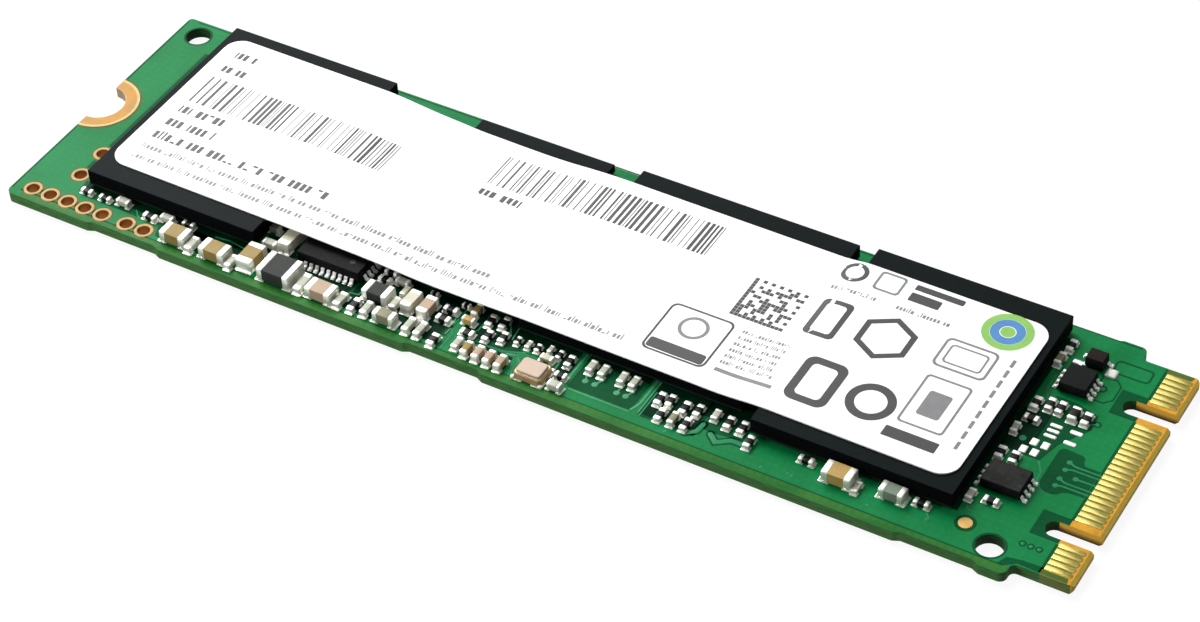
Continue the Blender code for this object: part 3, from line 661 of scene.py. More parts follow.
def make_halos():
    """The lacquer looks olive where it thins out beside plating."""
    total = bmesh.new()
    h0, h1 = TOP - 0.01, TOP + 0.004
    for x, y in VIAS:
        merge(total, filled([circle(x, y, 0.80, 40), circle(x, y, 0.66, 40)], h0, h1))
    outer = [(max(x, -HALF_L + 0.02), y) for x, y in arc(-HALF_L, 0, 2.98, -90, 90, 48)]
    inner = [(max(x, -HALF_L + 0.02), y) for x, y in arc(-HALF_L, 0, 2.77, 90, -90, 48)]
    merge(total, filled([outer + inner], h0, h1))
    return make("plating_halos", total, [HALO])


make_halos()


def make_rim():
    """Between the copper's edge and the board's edge the lacquer lies on bare laminate."""
    bm = bmesh.new()
    for side in (-1,):
        x_from = -38.9
        outer = [(x_from, side * 10.96)]
        for a, b, d in TABS:
            outer += [(a, side * 10.96), (a + 0.5, side * (10.96 - d)), (b - 0.5, side * (10.96 - d)), (b, side * 10.96)]
        outer += [(SHOULDER - 0.5, side * 10.96), (SHOULDER - 0.25, side * 10.9), (SHOULDER - 0.1, side * 10.75), (SHOULDER - 0.04, side * 10.5)]
        inner = [(SHOULDER - 0.04, side * 10.34), (SHOULDER - 0.5, side * 10.38), (x_from, side * 10.38)]
        pts = outer + inner
        if side > 0:
            pts = list(reversed(pts))
        sub = filled([pts], TOP - 0.01, TOP + 0.003)
        data = bpy.data.meshes.new("tmp")
        sub.to_mesh(data)
        sub.free()
        bm.from_mesh(data)
        bpy.data.meshes.remove(data)
    return make("rim_lacquer", bm, [MASK_RIM])


make_rim()


def make_traces():
    bm = bmesh.new()
    h0, h1 = TOP - 0.005, TOP + 0.016

    bright = bmesh.new()

    def line(path, w=0.13):
        prism(bm, stroke(path, w), h0, h1, r=0.006)

    def lit(path, w=0.13):
        prism(bright, stroke(path, w), h0, h1, r=0.006)

    def dot(x, y, r=0.19):
        pillow(bm, circle(x, y, r, 20), TOP, 0.02, r * 0.5)

    # five signal holes and their lines to the contacts
    for y_from, y_to in ((-0.61, -0.80), (-1.31, -1.14), (-2.16, -2.36), (-2.81, -2.70)):
        dot(35.64, y_from)
        line([(35.64, y_from), (36.05, y_to), (37.85, y_to)])
    dot(36.54, -1.76)
    line([(36.54, -1.76), (37.85, -1.75)])
    for x in (35.9, 36.45, 37.0):
        dot(x, -8.16, 0.13)
    dot(34.8, 6.3, 0.17)
    line([(34.8, 6.3), (34.45, 6.18)], 0.12)
    dot(35.82, 3.2, 0.15)
    dot(32.17, 0.0, 0.25)
    # borders of the filter block
    lit([(4.22, -6.2), (4.25, -9.5)], 0.17)
    lit([(9.48, -6.2), (9.48, -8.6), (9.2, -9.3)], 0.15)
    lit([(9.75, -6.2), (9.75, -9.3)], 0.09)
    lit([(4.75, -9.52), (9.15, -9.52)], 0.10)
    for x, bend in ((5.33, -0.12), (6.03, 0.22), (7.66, 0.02), (8.33, 0.2)):
        pillow(bright, circle(x, -8.42, 0.22, 20), TOP, 0.02, 0.12)
        lit([(x, -8.42), (x + bend, -8.0), (x + bend - 0.1, -7.7)], 0.12)
    # fans of fine lines between the small parts
    for path in ([(-4.6, -10.2), (-4.6, -8.7), (-5.0, -8.2), (-5.0, -5.8)],
                 [(-4.3, -8.9), (-3.3, -7.6), (-3.3, -6.0)],
                 [(-3.0, -9.0), (-2.0, -8.6), (-0.6, -8.5), (0.3, -8.1), (0.9, -8.1)],
                 [(-0.6, -8.75), (0.2, -8.5), (0.6, -9.0), (0.75, -10.1)],
                 [(0.4, -8.0), (1.2, -7.75)],
                 [(9.95, -9.5), (9.95, -7.2)], [(10.85, -9.6), (10.85, -8.4)],
                 [(-12.9, -8.5), (-12.2, -8.4), (-12.1, -7.2)],
                 [(-24.1, -8.1), (-23.0, -8.0), (-21.6, -8.2)],
                 [(-30.6, -8.4), (-30.1, -8.9), (-29.7, -8.9)],
                 [(32.1, 4.0), (31.7, 4.6), (31.7, 6.1)],
                 [(35.4, 3.0), (35.82, 3.2)], [(33.9, -1.4), (34.4, -2.2), (34.5, -3.1)],
                 [(31.9, -6.75), (31.6, -6.9), (31.9, -7.2)],
                 [(30.05, -9.0), (29.7, -8.6)]):
        line(path, 0.11)
    for path in ([(-5.05, -8.9), (-5.0, -8.1), (-5.25, -7.2)], [(-4.6, -6.4), (-4.2, -6.9), (-3.6, -7.9), (-3.35, -8.6)],
                 [(3.0, -7.9), (3.1, -8.9), (3.15, -9.9)], [(-1.0, -6.2), (-0.85, -7.3)], [(-1.7, -6.1), (-1.1, -7.1)],
                 [(-0.5, -8.6), (0.2, -8.45), (0.65, -8.9), (0.75, -9.9)]):
        lit(path, 0.1)
    # wide lit strips inside the outlined areas
    for path, w in (([(13.3, -9.5), (13.85, -9.05), (13.95, -8.3)], 0.34), ([(14.75, -8.85), (15.35, -9.35), (16.2, -8.75), (17.1, -8.75)], 0.34)):
        prism(bm, stroke(path, w), h0, TOP + 0.012, r=0.004)
    # a few plain tented holes
    for x, y in ((20.65, -9.62), (20.95, -9.7), (18.9, -9.9), (-4.9, -10.55), (24.9, -7.95), (29.95, -9.1),
                 (-0.6, 10.55), (-16.5, 9.9), (-18.0, 9.75), (-1.9, 9.8), (16.4, 9.9), (12.1, -10.0), (26.2, -9.7)):
        dot(x, y, 0.12)
    make("bright_traces", bright, [MASK_LIT])
    return make("lit_traces", bm, [MASK_TRACE])


make_traces()

# ---- plated metal -----------------------------------------------------------
TOP_PINS = tuple(range(1, 12, 2)) + tuple(range(21, 58, 2)) + tuple(range(67, 76, 2))
LOW_PINS = tuple(range(2, 11, 2)) + tuple(range(20, 59, 2)) + tuple(range(68, 75, 2))


def make_contacts():
    for name, pins, z0, z1, up in (("contacts_above", TOP_PINS, TOP - 0.02, TOP + 0.036, 1),
                                   ("contacts_below", LOW_PINS, -0.003, 0.02, -1)):
        bm = bmesh.new()
        for pin in pins:
            y = (38 - pin) * 0.25
            tip = arc(39.53, y + 0.055, 0.12, 0, 90, 4)
            low = arc(39.53, y - 0.055, 0.12, -90, 0, 4)
            pts = [(37.89, y - 0.175)] + low + tip + [(37.89, y + 0.175)]
            prism(bm, pts, z0, z1, r=0.014 if up > 0 else 0.0)
        make(name, bm, [GOLD])
    # laminate between neighbouring contacts, darkened as painted shade of the contacts' side walls, and lacquer outside
    # the outermost ones
    bm = bmesh.new()
    for pin in TOP_PINS:
        if pin + 2 in TOP_PINS:
            y = (38 - pin) * 0.25 - 0.25
            prism(bm, [(37.86, y - 0.074), (39.56, y - 0.074), (39.56, y + 0.074), (37.86, y + 0.074)], TOP - 0.01, TOP + 0.005)
    make("contact_gap_painted_shade", bm, [AMBER_GAP_SHADE])
    bm = bmesh.new()
    prism(bm, [(37.8, 9.50), (39.5, 9.50), (39.6, 9.9), (37.8, 9.9)], TOP - 0.01, TOP + 0.008)
    prism(bm, [(37.8, -9.9), (39.6, -9.9), (39.5, -9.50), (37.8, -9.50)], TOP - 0.01, TOP + 0.008)
    make("contact_side_lacquer", bm, [MASK_OLIVE])


make_contacts()


def make_plated_holes():
    bm = bmesh.new()
    for x, y in VIAS:
        turned(bm, [(0.462, -0.002), (0.66, -0.002), (0.66, 0.01), (0.488, 0.01), (0.488, TOP - 0.01), (0.672, TOP - 0.01),
                    (0.672, TOP + 0.018), (0.657, TOP + 0.03), (0.48, TOP + 0.03), (0.462, TOP + 0.015)], x, y)
    for f in bm.faces:
        c = f.calc_center_median()
        near = min(math.hypot(c.x - x, c.y - y) for x, y in VIAS)
        f.material_index = 1 if near < 0.47 and -0.001 < c.z < TOP + 0.02 else 0
    return make("plated_holes", bm, [RING, COPPER], (), 50)


make_plated_holes()


def make_screw_land():
    bm = bmesh.new()
    ring = arc(-HALF_L, 0, 2.79, -90, 90, 56) + arc(-HALF_L, 0, NOTCH + 0.01, 90, -90, 48)
    ring = [(max(x, -HALF_L + 0.02), y) for x, y in ring]
    sub = filled([ring], TOP - 0.01, TOP + 0.03)
    data = bpy.data.meshes.new("tmp")
    sub.to_mesh(data)
    sub.free()
    bm.from_mesh(data)
    bpy.data.meshes.remove(data)
    wall = arc(-HALF_L, 0, NOTCH + 0.012, -90, 90, 48) + arc(-HALF_L, 0, NOTCH - 0.03, 90, -90, 48)
    wall = [(max(x, -HALF_L + 0.02), y) for x, y in wall]
    before = set(bm.faces)
    sub = filled([wall], 0.0, TOP + 0.028)
    data = bpy.data.meshes.new("tmp")
    sub.to_mesh(data)
    sub.free()
    bm.from_mesh(data)
    bpy.data.meshes.remove(data)
    paint(bm, before, 1)
    cream = arc(-HALF_L, 0, 2.80, -90, 90, 56) + arc(-HALF_L, 0, 2.60, 90, -90, 48)
    cream = [(max(x, -HALF_L + 0.02), y) for x, y in cream]
    before = set(bm.faces)
    merge(bm, filled([cream], TOP, TOP + 0.034))
    paint(bm, before, 2)
    before = set(bm.faces)
    sub = filled([ring], -0.002, 0.012)
    data = bpy.data.meshes.new("tmp")
    sub.to_mesh(data)
    sub.free()
    bm.from_mesh(data)
    bpy.data.meshes.remove(data)
    wall_metal = simple("notch_plating", (0.36, 0.26, 0.16), 0.5, 0.4, grain=6.0, vary=0.15, bump=0.4, bump_mm=0.02, spec=0.2)
    return make("screw_land", bm, [GOLD_LAND, wall_metal, RIM_CREAM])


make_screw_land()


def make_fiducial():
    bm = bmesh.new()
    prism(bm, circle(32.14, -8.25, 0.455, 40), TOP - 0.01, TOP + 0.03, r=0.012)
    return make("alignment_dot", bm, [DOT])


make_fiducial()

# =============================================================================
# small parts
# =============================================================================


def fillet(bm, x, half, f, h, sign, base, mi=1, n=6):
    """Solder drawn up an end cap: hollow, wider at the foot."""
    rings = []
    for k in range(n + 1):
        a = k / n * pi / 2
        rings.append((x + sign * f * (1 - sin(a)), base + h * (1 - cos(a)), half * (1.06 - 0.14 * k / n)))
    floor = base - 0.03
    count = len(rings)
    left = [bm.verts.new((px, -w, pz)) for px, pz, w in rings]
    right = [bm.verts.new((px, w, pz)) for px, pz, w in rings]
    inner_l = bm.verts.new((x - sign * 0.02, -half, floor))
    inner_r = bm.verts.new((x - sign * 0.02, half, floor))
    foot_l = bm.verts.new((x + sign * f, -half * 1.06, floor))
    foot_r = bm.verts.new((x + sign * f, half * 1.06, floor))
    top_l = bm.verts.new((x - sign * 0.02, -half * 0.92, base + h))
    top_r = bm.verts.new((x - sign * 0.02, half * 0.92, base + h))
    faces = [(left[k], right[k], right[k + 1], left[k + 1]) for k in range(count - 1)]
    faces += [(foot_l, foot_r, right[0], left[0]), (inner_l, inner_r, foot_r, foot_l),
              (left[-1], right[-1], top_r, top_l), (top_l, top_r, inner_r, inner_l),
              (foot_l, *left, top_l, inner_l), (foot_r, inner_r, top_r, *reversed(right))]
    for vs in faces:
        bm.faces.new(vs if sign > 0 else tuple(reversed(vs))).material_index = mi


def chip_bm(L, W, H, cap=None, look="mlcc", lift=0.0, reach=None, jitter=0.0, rng=None):
    """A chip part along X at the origin: body, end caps, solder and lands."""
    bm = bmesh.new()
    base = TOP + 0.035 + lift
    cap = cap or (0.3 if look == "res" else 0.25) * L
    reach = reach if reach is not None else min(0.12, 0.09 * L)
    body_h = H - 0.03 if look != "res" else H - 0.05
    rbox(bm, (0, 0, base + H / 2), (L - cap * 0.6, W - 0.035, body_h), min(0.035, H * 0.1), 2, 0)
    for s in (-1, 1):
        rbox(bm, (s * (L / 2 - cap / 2), 0, base + H / 2), (cap, W, H), min(0.09, H * 0.18, cap * 0.4), 3, 1)
        fillet(bm, s * (L / 2 - 0.015), W / 2 * 0.96, reach, H * 0.5, s, TOP + 0.03, 2)
        x0, x1 = sorted((s * (L / 2 - cap - 0.06), s * (L / 2 + reach + 0.02)))
        pts = rrect(x0, -W / 2 - 0.05, x1, W / 2 + 0.05, 0.06, 3)
        prism(bm, pts, TOP - 0.01, TOP + 0.034, 2, 0.012)
        # thin meniscus along each side of the cap
        for t in (-1, 1):
            rbox(bm, (s * (L / 2 - cap / 2), t * (W / 2 + 0.005), TOP + 0.07), (cap * 0.86, 0.05, 0.12), 0.02, 1, 2)
    return bm


def place(bm, x, y, axis, turn=0.0):
    angle = (pi / 2 if axis == "y" else 0.0) + radians(turn)
    bmesh.ops.rotate(bm, cent=(0, 0, 0), matrix=Matrix.Rotation(angle, 3, "Z"), verts=bm.verts)
    bmesh.ops.translate(bm, vec=(x, y, 0), verts=bm.verts)


def centre_of(node):
    lo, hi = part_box(node)
    c, s = (lo + hi) / 2 / MM, (hi - lo) / MM
    return c, s


def from_node(node, look, kind="mlcc", cap=None, turn=0.0, reach=None):
    c, s = centre_of(node)
    axis = "x" if s.x > s.y else "y"
    L, W = max(s.x, s.y), min(s.x, s.y)
    bm = chip_bm(L, W, s.z, cap, kind, 0.015, reach)
    place(bm, c.x, c.y, axis, turn)
    return make(node, bm, [CERAMICS[look], TIN, SOLDER], [node], 45)


LOOKS = {
    "bulk_capacitor_1": "tan", "bulk_capacitor_2": "tan", "bulk_capacitor_3": "tan", "bulk_capacitor_4": "rose",
    "bulk_capacitor_5": "amber", "bulk_capacitor_6": "pale",
    "filter_capacitor_1": "olive", "filter_capacitor_2": "pale", "filter_capacitor_3": "rose", "filter_capacitor_4": "grey",
    "timing_capacitor_1": "tan", "timing_capacitor_2": "rose", "timing_capacitor_3": "rose", "timing_capacitor_4": "rose",
    "bypass_capacitor_12": "amber", "bypass_capacitor_18": "black",
}
wobble = random.Random(7)
for node in sorted(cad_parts):
    if node.startswith(("bulk_", "filter_", "timing_", "bypass_")):
        look = LOOKS.get(node, "white")
        big = node.startswith(("bulk_", "filter_"))
        from_node(node, look, "mlcc", None, wobble.uniform(-1.2, 1.2), 0.15 if big else None)
    elif node.startswith("chip_resistor"):
        from_node(node, "black", "res", None, wobble.uniform(-1.5, 1.5))

# parts too many to be CAD nodes: x, y, axis, length, width, height, look
EXTRA = [
    (-34.72, -8.5, "x", 0.92, 0.44, 0.32, "black"), (-33.15, -8.52, "x", 0.92, 0.44, 0.32, "black"),
    (-26.3, -8.14, "x", 0.95, 0.46, 0.4, "black"), (-20.82, -5.75, "x", 1.0, 0.52, 0.45, "white"),
    (-4.15, -6.30, "y", 1.0, 0.5, 0.5, "tan"), (-3.7, -8.3, "x", 1.0, 0.5, 0.31, "black"),
    (-3.7, -9.5, "y", 1.05, 0.5, 0.4, "white"), (-2.9, -6.6, "y", 1.1, 0.5, 0.31, "black"),
    (-1.97, -6.4, "y", 1.1, 0.5, 0.31, "black"), (-2.35, -7.93, "y", 1.0, 0.48, 0.31, "black"),
    (-1.35, -7.6, "y", 1.0, 0.48, 0.31, "black"), (-0.32, -7.42, "y", 0.7, 0.36, 0.3, "black"),
    (0.5, -7.42, "y", 0.7, 0.36, 0.3, "white"), (1.2, -7.4, "y", 0.7, 0.36, 0.3, "black"),
    (2.2, -7.95, "x", 0.95, 0.5, 0.35, "pale"), (2.0, -7.12, "y", 0.62, 0.34, 0.3, "white"),
    (2.78, -7.3, "y", 0.8, 0.36, 0.3, "black"), (3.65, -7.5, "y", 1.05, 0.48, 0.31, "black"),
    (3.8, -8.9, "x", 0.85, 0.5, 0.31, "black"), (10.5, -7.75, "y", 1.15, 0.5, 0.31, "black"),
    (11.2, -7.6, "y", 1.05, 0.46, 0.31, "black"), (12.3, -7.75, "y", 1.15, 0.5, 0.31, "black"),
    (13.2, -7.55, "y", 1.05, 0.48, 0.31, "black"), (11.2, -9.0, "y", 1.1, 0.48, 0.31, "black"),
    (12.15, -9.0, "y", 1.1, 0.48, 0.45, "olive"), (13.05, -9.0, "y", 1.1, 0.48, 0.31, "black"),
    (14.4, -7.4, "y", 0.9, 0.48, 0.36, "white"), (15.42, -7.6, "y", 1.1, 0.5, 0.31, "black"),
    (16.4, -7.6, "y", 1.1, 0.5, 0.31, "black"), (25.05, -8.85, "y", 1.0, 0.44, 0.32, "white"),
    (31.47, -6.1, "y", 0.9, 0.48, 0.36, "white"), (32.8, -5.98, "x", 1.0, 0.5, 0.31, "black"),
    (31.55, -1.95, "y", 1.05, 0.55, 0.31, "black"), (32.5, -2.0, "y", 1.05, 0.55, 0.31, "black"),
    (31.47, 0.42, "y", 0.9, 0.46, 0.36, "white"), (32.0, 1.65, "x", 1.0, 0.5, 0.31, "black"),
    (31.7, 3.03, "y", 1.1, 0.55, 0.31, "black"), (32.55, 3.32, "y", 1.1, 0.5, 0.31, "black"),
    (33.28, 3.32, "y", 1.1, 0.5, 0.31, "black"), (35.1, 3.15, "y", 1.1, 0.55, 0.31, "black"),
    (31.42, 7.3, "y", 1.1, 0.5, 0.45, "olive"), (31.55, 8.85, "y", 1.05, 0.5, 0.31, "black"),
    (-11.3, -6.45, "x", 1.0, 0.46, 0.31, "black"), (-11.3, -5.65, "x", 1.0, 0.46, 0.31, "black"),
    (-10.05, -6.2, "x", 1.05, 0.52, 0.45, "white"), (-9.42, -6.9, "y", 0.95, 0.42, 0.4, "pale"),
    (-5.1, -6.1, "x", 0.6, 0.34, 0.3, "black"), (-7.6, -6.1, "x", 0.6, 0.3, 0.3, "black"),
]
for number, (x, y, axis, L, W, H, look) in enumerate(EXTRA, 1):
    bm = chip_bm(L, W, H, None, "res" if look == "black" else "mlcc", 0.0)
    place(bm, x, y, axis, wobble.uniform(-2, 2))
    kind = "small_resistor" if look == "black" else "small_capacitor"
    # parts in the packages' shade get the whiter tin and solder copies: painted light
    metal = [TIN_MATT_LIT, SOLDER_FLAT] if 31 < x < 31.9 or (y > -6.5 and x < -3) else [TIN, SOLDER]
    make("%s_%d" % (kind, number), bm, [CERAMICS[look]] + metal, (), 45)


def make_lands():
    """Lands with solder but no part."""
    bm = bmesh.new()
    for x, y, w, h in ((33.62, 1.9, 0.85, 0.3), (33.62, 1.4, 0.85, 0.3), (33.62, 0.9, 0.85, 0.3),
                       (34.98, 1.9, 0.85, 0.34), (34.98, 0.88, 0.85, 0.34)):
        pillow(bm, rrect(x - w / 2, y - h / 2, x + w / 2, y + h / 2, 0.12, 5), TOP, 0.07, h * 0.3)
    pillow(bm, rrect(32.1, 7.57, 32.82, 7.98, 0.14, 5), TOP, 0.12, 0.12)
    for x, y in ((32.97, 0.0), (33.72, 0.0), (32.6, -0.85), (33.35, -0.85)):
        pillow(bm, rrect(x - 0.25, y - 0.32, x + 0.25, y + 0.32, 0.08, 5), TOP, 0.05, 0.08)
    return make("tinned_lands", bm, [SOLDER_FLAT], (), 60)


make_lands()


def make_big_land():
    c, s = centre_of("solder_bridge_land")
    bm = bmesh.new()
    pillow(bm, rrect(c.x - s.x / 2, c.y - s.y / 2, c.x + s.x / 2, c.y + s.y / 2, 0.14, 6), TOP + 0.01, 0.15, 0.16, 0, 6)
    return make("solder_bridge_land", bm, [SOLDER_FLAT], ["solder_bridge_land"], 60)


make_big_land()


def make_choke(node):
    c, s = centre_of(node)
    L, W, H = s.x, s.y, s.z
    bm = bmesh.new()
    base = TOP + 0.05
    cap = (0.2 if L > 2.3 else 0.25) * L
    rbox(bm, (0, 0, base + H / 2 - 0.01), (L - cap * 1.1, W - 0.02, H - 0.06), 0.07, 3, 0)
    for sign in (-1, 1):
        rbox(bm, (sign * (L / 2 - cap / 2), 0, base + H / 2), (cap, W, H), 0.1, 3, 1)
        fillet(bm, sign * (L / 2 - 0.015), W / 2 * 0.92, 0.14, H * 0.4, sign, TOP + 0.03, 2)
        x0, x1 = sorted((sign * (L / 2 - cap - 0.05), sign * (L / 2 + 0.17)))
        prism(bm, rrect(x0, -W / 2 - 0.06, x1, W / 2 + 0.06, 0.08, 3), TOP - 0.01, TOP + 0.034, 2, 0.012)
    place(bm, c.x, c.y, "x")
    return make(node, bm, [FERRITE, TIN, SOLDER], [node], 45)


make_choke("power_choke_large")
make_choke("power_choke_small")

# ---- chips with bent leads --------------------------------------------------
LEADED = {
    "power_management_chip": ((-15.2, -5.05), (5.0, 5.1), 1.78, 9, 9, 9, 0.465, 0.26, 0.0, 0.12, 1.14, (-13.66, -6.71)),
    "eight_pin_chip_far": ((33.3, 5.85), (1.95, 2.1), 1.62, 4, 4, 0, 0.5, 0.25, 0.0, 0.0, 1.10, None),
    "eight_pin_chip_near": ((32.93, -4.1), (2.75, 2.1), 1.62, 4, 4, 0, 0.535, 0.25, -0.03, 0.0, 1.10, (34.06, -4.65)),
    "power_switch_transistor": ((33.6, 8.12), (1.3, 1.1), 1.72, 1, 2, 0, 0.9, 0.3, 0.3, 0.0, 1.04, None),
}


FACES = {"power_management_chip": (0.0062, 0.0062, 0.0067), "eight_pin_chip_far": (0.0088, 0.0098, 0.0100),
         "eight_pin_chip_near": (0.0175, 0.0185, 0.0170), "power_switch_transistor": (0.0150, 0.0095, 0.0090)}


def bent_path(shoulder, low, run, lean, foot):
    """Centre line of a lead: out, down at a slant, and out along the land."""
    return [(-0.12, shoulder), (run - 0.03, shoulder), (run + 0.015, shoulder - 0.02),
            (run + lean - 0.015, low + 0.025), (run + lean + 0.03, low), (run + lean + foot, low)]


def make_leaded(node):
    (cx, cy), (sx, sy), top, right, left, ends, pitch, width, shift_x, shift_y, mid, mark = LEADED[node]
    base = TOP + 0.1
    bm = bmesh.new()
    # the moulded body tapers up and down from its parting line
    def ring(z, grow, r=0.06):
        return [(x, y, z) for x, y in rrect(cx - sx / 2 - grow, cy - sy / 2 - grow, cx + sx / 2 + grow, cy + sy / 2 + grow, r, 3)]
    loops(bm, [ring(base, -0.07), ring(base + 0.03, -0.045), ring(mid - 0.01, 0.0), ring(mid + 0.01, 0.0),
               ring(top - 0.035, -0.045), ring(top - 0.012, -0.055), ring(top, -0.075)], 0)
    if mark:
        prism(bm, circle(mark[0], mark[1], 0.2 if sx > 4 else 0.12, 28), top - 0.01, top + 0.003, 3)
    low = TOP + 0.05
    outline = stroke(bent_path(mid, low + 0.045, 0.05, 0.09, 0.22), 0.09, 0)
    for angle, reach, count, offset in ((0, sx / 2, right, shift_x), (180, sx / 2, left, 0.0),
                                        (90, sy / 2, ends, -shift_y), (270, sy / 2, ends, shift_y)):
        a = radians(angle)
        for k in range(count):
            t = (k - (count - 1) / 2) * pitch + offset
            rings = []
            for side, slim in ((-1, 0.012), (-1, 0.0), (1, 0.0), (1, 0.012)):
                pts = inset(outline, slim)
                w = side * (width / 2 - (0.012 if slim == 0.0 else 0.0))
                rings.append([(cx + (reach + d) * cos(a) - (t + w) * sin(a), cy + (reach + d) * sin(a) + (t + w) * cos(a), z) for d, z in pts])
            loops(bm, rings, 1)
            # land and solder under the foot
            for d_lo, d_hi, hh, z1 in ((reach + 0.14, reach + 0.41, width / 2 + 0.02, TOP + 0.034), (reach + 0.2, reach + 0.38, width / 2 + 0.005, TOP + 0.065)):
                corners = [(d_lo, -hh), (d_hi, -hh), (d_hi, hh), (d_lo, hh)]
                pts = [(cx + d * cos(a) - (t + w) * sin(a), cy + d * sin(a) + (t + w) * cos(a)) for d, w in corners]
                prism(bm, pts, TOP - 0.01, z1, 2, 0.012)
    bmesh.ops.recalc_face_normals(bm, faces=bm.faces)
    for f in bm.faces:
        if f.material_index == 0 and f.normal.z > 0.9:
            f.material_index = 4
    pin = simple("pin_mark_" + node, (0.020, 0.020, 0.021), 0.4, grain=8.0, spec=0.12)
    face = simple("marked_face_" + node, FACES[node], 0.5, grain=3.4, vary=0.55 if "near" in node else 0.25, bump=0.4,
                  bump_mm=0.010, bump_per_mm=12.0, spec=0.05, stretch=(1, 1, 1) if "transistor" not in node else (2.2, 0.3, 1))
    return make(node, bm, [MOULD_SOFT, LEAD, SOLDER, pin, face], [node], 40)


for node in LEADED:
    make_leaded(node)


def make_crystal():
    c, s = centre_of("crystal_base")
    bm = bmesh.new()
    x0, x1, y0, y1 = c.x - s.x / 2, c.x + s.x / 2, c.y - s.y / 2, c.y + s.y / 2
    base = TOP + 0.05
    # ceramic tray with hollowed corners
    q = 0.16
    pts = ([(x0 + q, y0), (x1 - q, y0)] + arc(x1, y0, q, 180, 90, 5)[1:-1] + [(x1, y0 + q), (x1, y1 - q)]
           + arc(x1, y1, q, 270, 180, 5)[1:-1] + [(x1 - q, y1), (x0 + q, y1)] + arc(x0, y1, q, 0, -90, 5)[1:-1]
           + [(x0, y1 - q), (x0, y0 + q)] + arc(x0, y0, q, 90, 0, 5)[1:-1])
    prism(bm, pts, base, 1.28, 0, 0.02)
    for sx, sy in ((-1, -1), (1, -1), (1, 1), (-1, 1)):
        px, py = c.x + sx * (s.x / 2 - 0.3), c.y + sy * (s.y / 2 - 0.26)
        prism(bm, rrect(px - 0.42, py - 0.38, px + 0.42, py + 0.38, 0.08, 3), TOP - 0.01, TOP + 0.05, 1, 0.015)
        rbox(bm, (c.x + sx * (s.x / 2 - 0.02), c.y + sy * (s.y / 2 - 0.02), TOP + 0.13), (0.3, 0.3, 0.2), 0.09, 3, 1)
    make("crystal_base", bm, [CERAMIC_BASE, SOLDER], ["crystal_base"], 40)
    c, s = centre_of("crystal_lid")
    bm = bmesh.new()
    hx, hy = s.x / 2, s.y / 2
    prism(bm, rrect(c.x - hx - 0.07, c.y - hy - 0.07, c.x + hx + 0.07, c.y + hy + 0.07, 0.2, 6), 1.27, 1.335, 1, 0.02)
    rings = []
    for z, grow in ((1.33, 0.0), (1.44, -0.012), (1.475, -0.03), (1.494, -0.06), (1.50, -0.1)):
        rings.append([(x, y, z) for x, y in rrect(c.x - hx - grow, c.y - hy - grow, c.x + hx + grow, c.y + hy + grow, 0.2 + grow * 0.5, 6)])
    loops(bm, rings, 0)
    make("crystal_lid", bm, [LID, LID_RIM], ["crystal_lid"], 40)


make_crystal()

# =============================================================================
# packages
# =============================================================================


def make_package(node):
    c, s = centre_of(node)
    lo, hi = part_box(node)
    top = hi.z / MM
    x0, x1, y0, y1 = lo.x / MM, hi.x / MM, lo.y / MM, hi.y / MM
    bm = bmesh.new()
    under = TOP + 0.22
    sub_top = under + 0.16
    # substrate slab, then the mould on it, sawn flush with a tiny step
    prism(bm, rrect(x0, y0, x1, y1, 0.03, 1), under, sub_top, 1, 0.0)
    rings = []
    for z, g, r in ((sub_top - 0.005, 0.012, 0.04), (top - 0.05, 0.012, 0.04), (top - 0.02, 0.02, 0.05), (top - 0.005, 0.036, 0.06), (top, 0.055, 0.07)):
        rings.append([(x, y, z) for x, y in rrect(x0 + g, y0 + g, x1 - g, y1 - g, r, 3)])
    loops(bm, rings, 0)
    pitch = 1.0
    nx, ny = int((x1 - x0 - 1.2) / pitch), int((y1 - y0 - 1.2) / pitch)
    for i in range(nx + 1):
        for j in range(ny + 1):
            if 2 < i < nx - 2 and 2 < j < ny - 2:
                continue
            bx, by = c.x + (i - nx / 2) * pitch, c.y + (j - ny / 2) * pitch
            rings = []
            for k in range(6):
                a = -0.9 + 1.8 * k / 5
                rings.append([(x, y, TOP + 0.11 + 0.115 * sin(a) / sin(0.9)) for x, y in circle(bx, by, 0.24 * cos(a), 10)])
            loops(bm, rings, 2)
    bm.normal_update()
    # side faces get the darker mould: partly the sawn finish, partly painted shade
    for f in bm.faces:
        if f.material_index == 0 and abs(f.normal.z) < 0.5:
            f.material_index = 3
    return make(node, bm, [MOULD, SUBSTRATE, SOLDER, MOULD_SIDE_SHADED], [node], 35)


for node in ("memory_package_left", "memory_package_right", "controller_package", "cache_package"):
    make_package(node)

# =============================================================================
# label
# =============================================================================
LABEL_L, LABEL_W = 64.88, 15.45
LABEL_C = (-1.985, 1.28)
LABEL_TURN = radians(-0.38)
LABEL_T = 0.1
DRAPE_FAR = ((-36.0, 2.27), (-21.0, 2.27), (-19.8, 2.2), (-17.5, 1.97), (-16.0, 1.85), (-14.6, 1.78), (-13.2, 1.67),
             (-8.7, 1.66), (-7.2, 1.68), (-5.6, 1.76), (-4.2, 1.89), (-2.7, 1.99), (-1.0, 2.05), (15.7, 2.05),
             (16.6, 2.2), (17.0, 2.27), (32.0, 2.27))
DRAPE_NEAR = ((-36.0, 2.27), (-20.3, 2.27), (-18.8, 2.255), (-17.3, 2.215), (-15.9, 2.18), (-14.4, 2.16), (-12.9, 2.135),
              (-11.4, 2.085), (-10.0, 2.0), (-8.6, 1.93), (-7.1, 1.92), (-5.5, 1.94), (-4.0, 1.96), (-1.0, 2.045),
              (0.0, 2.05), (14.6, 2.06), (15.5, 2.17), (16.6, 2.25), (17.0, 2.27), (32.0, 2.27))
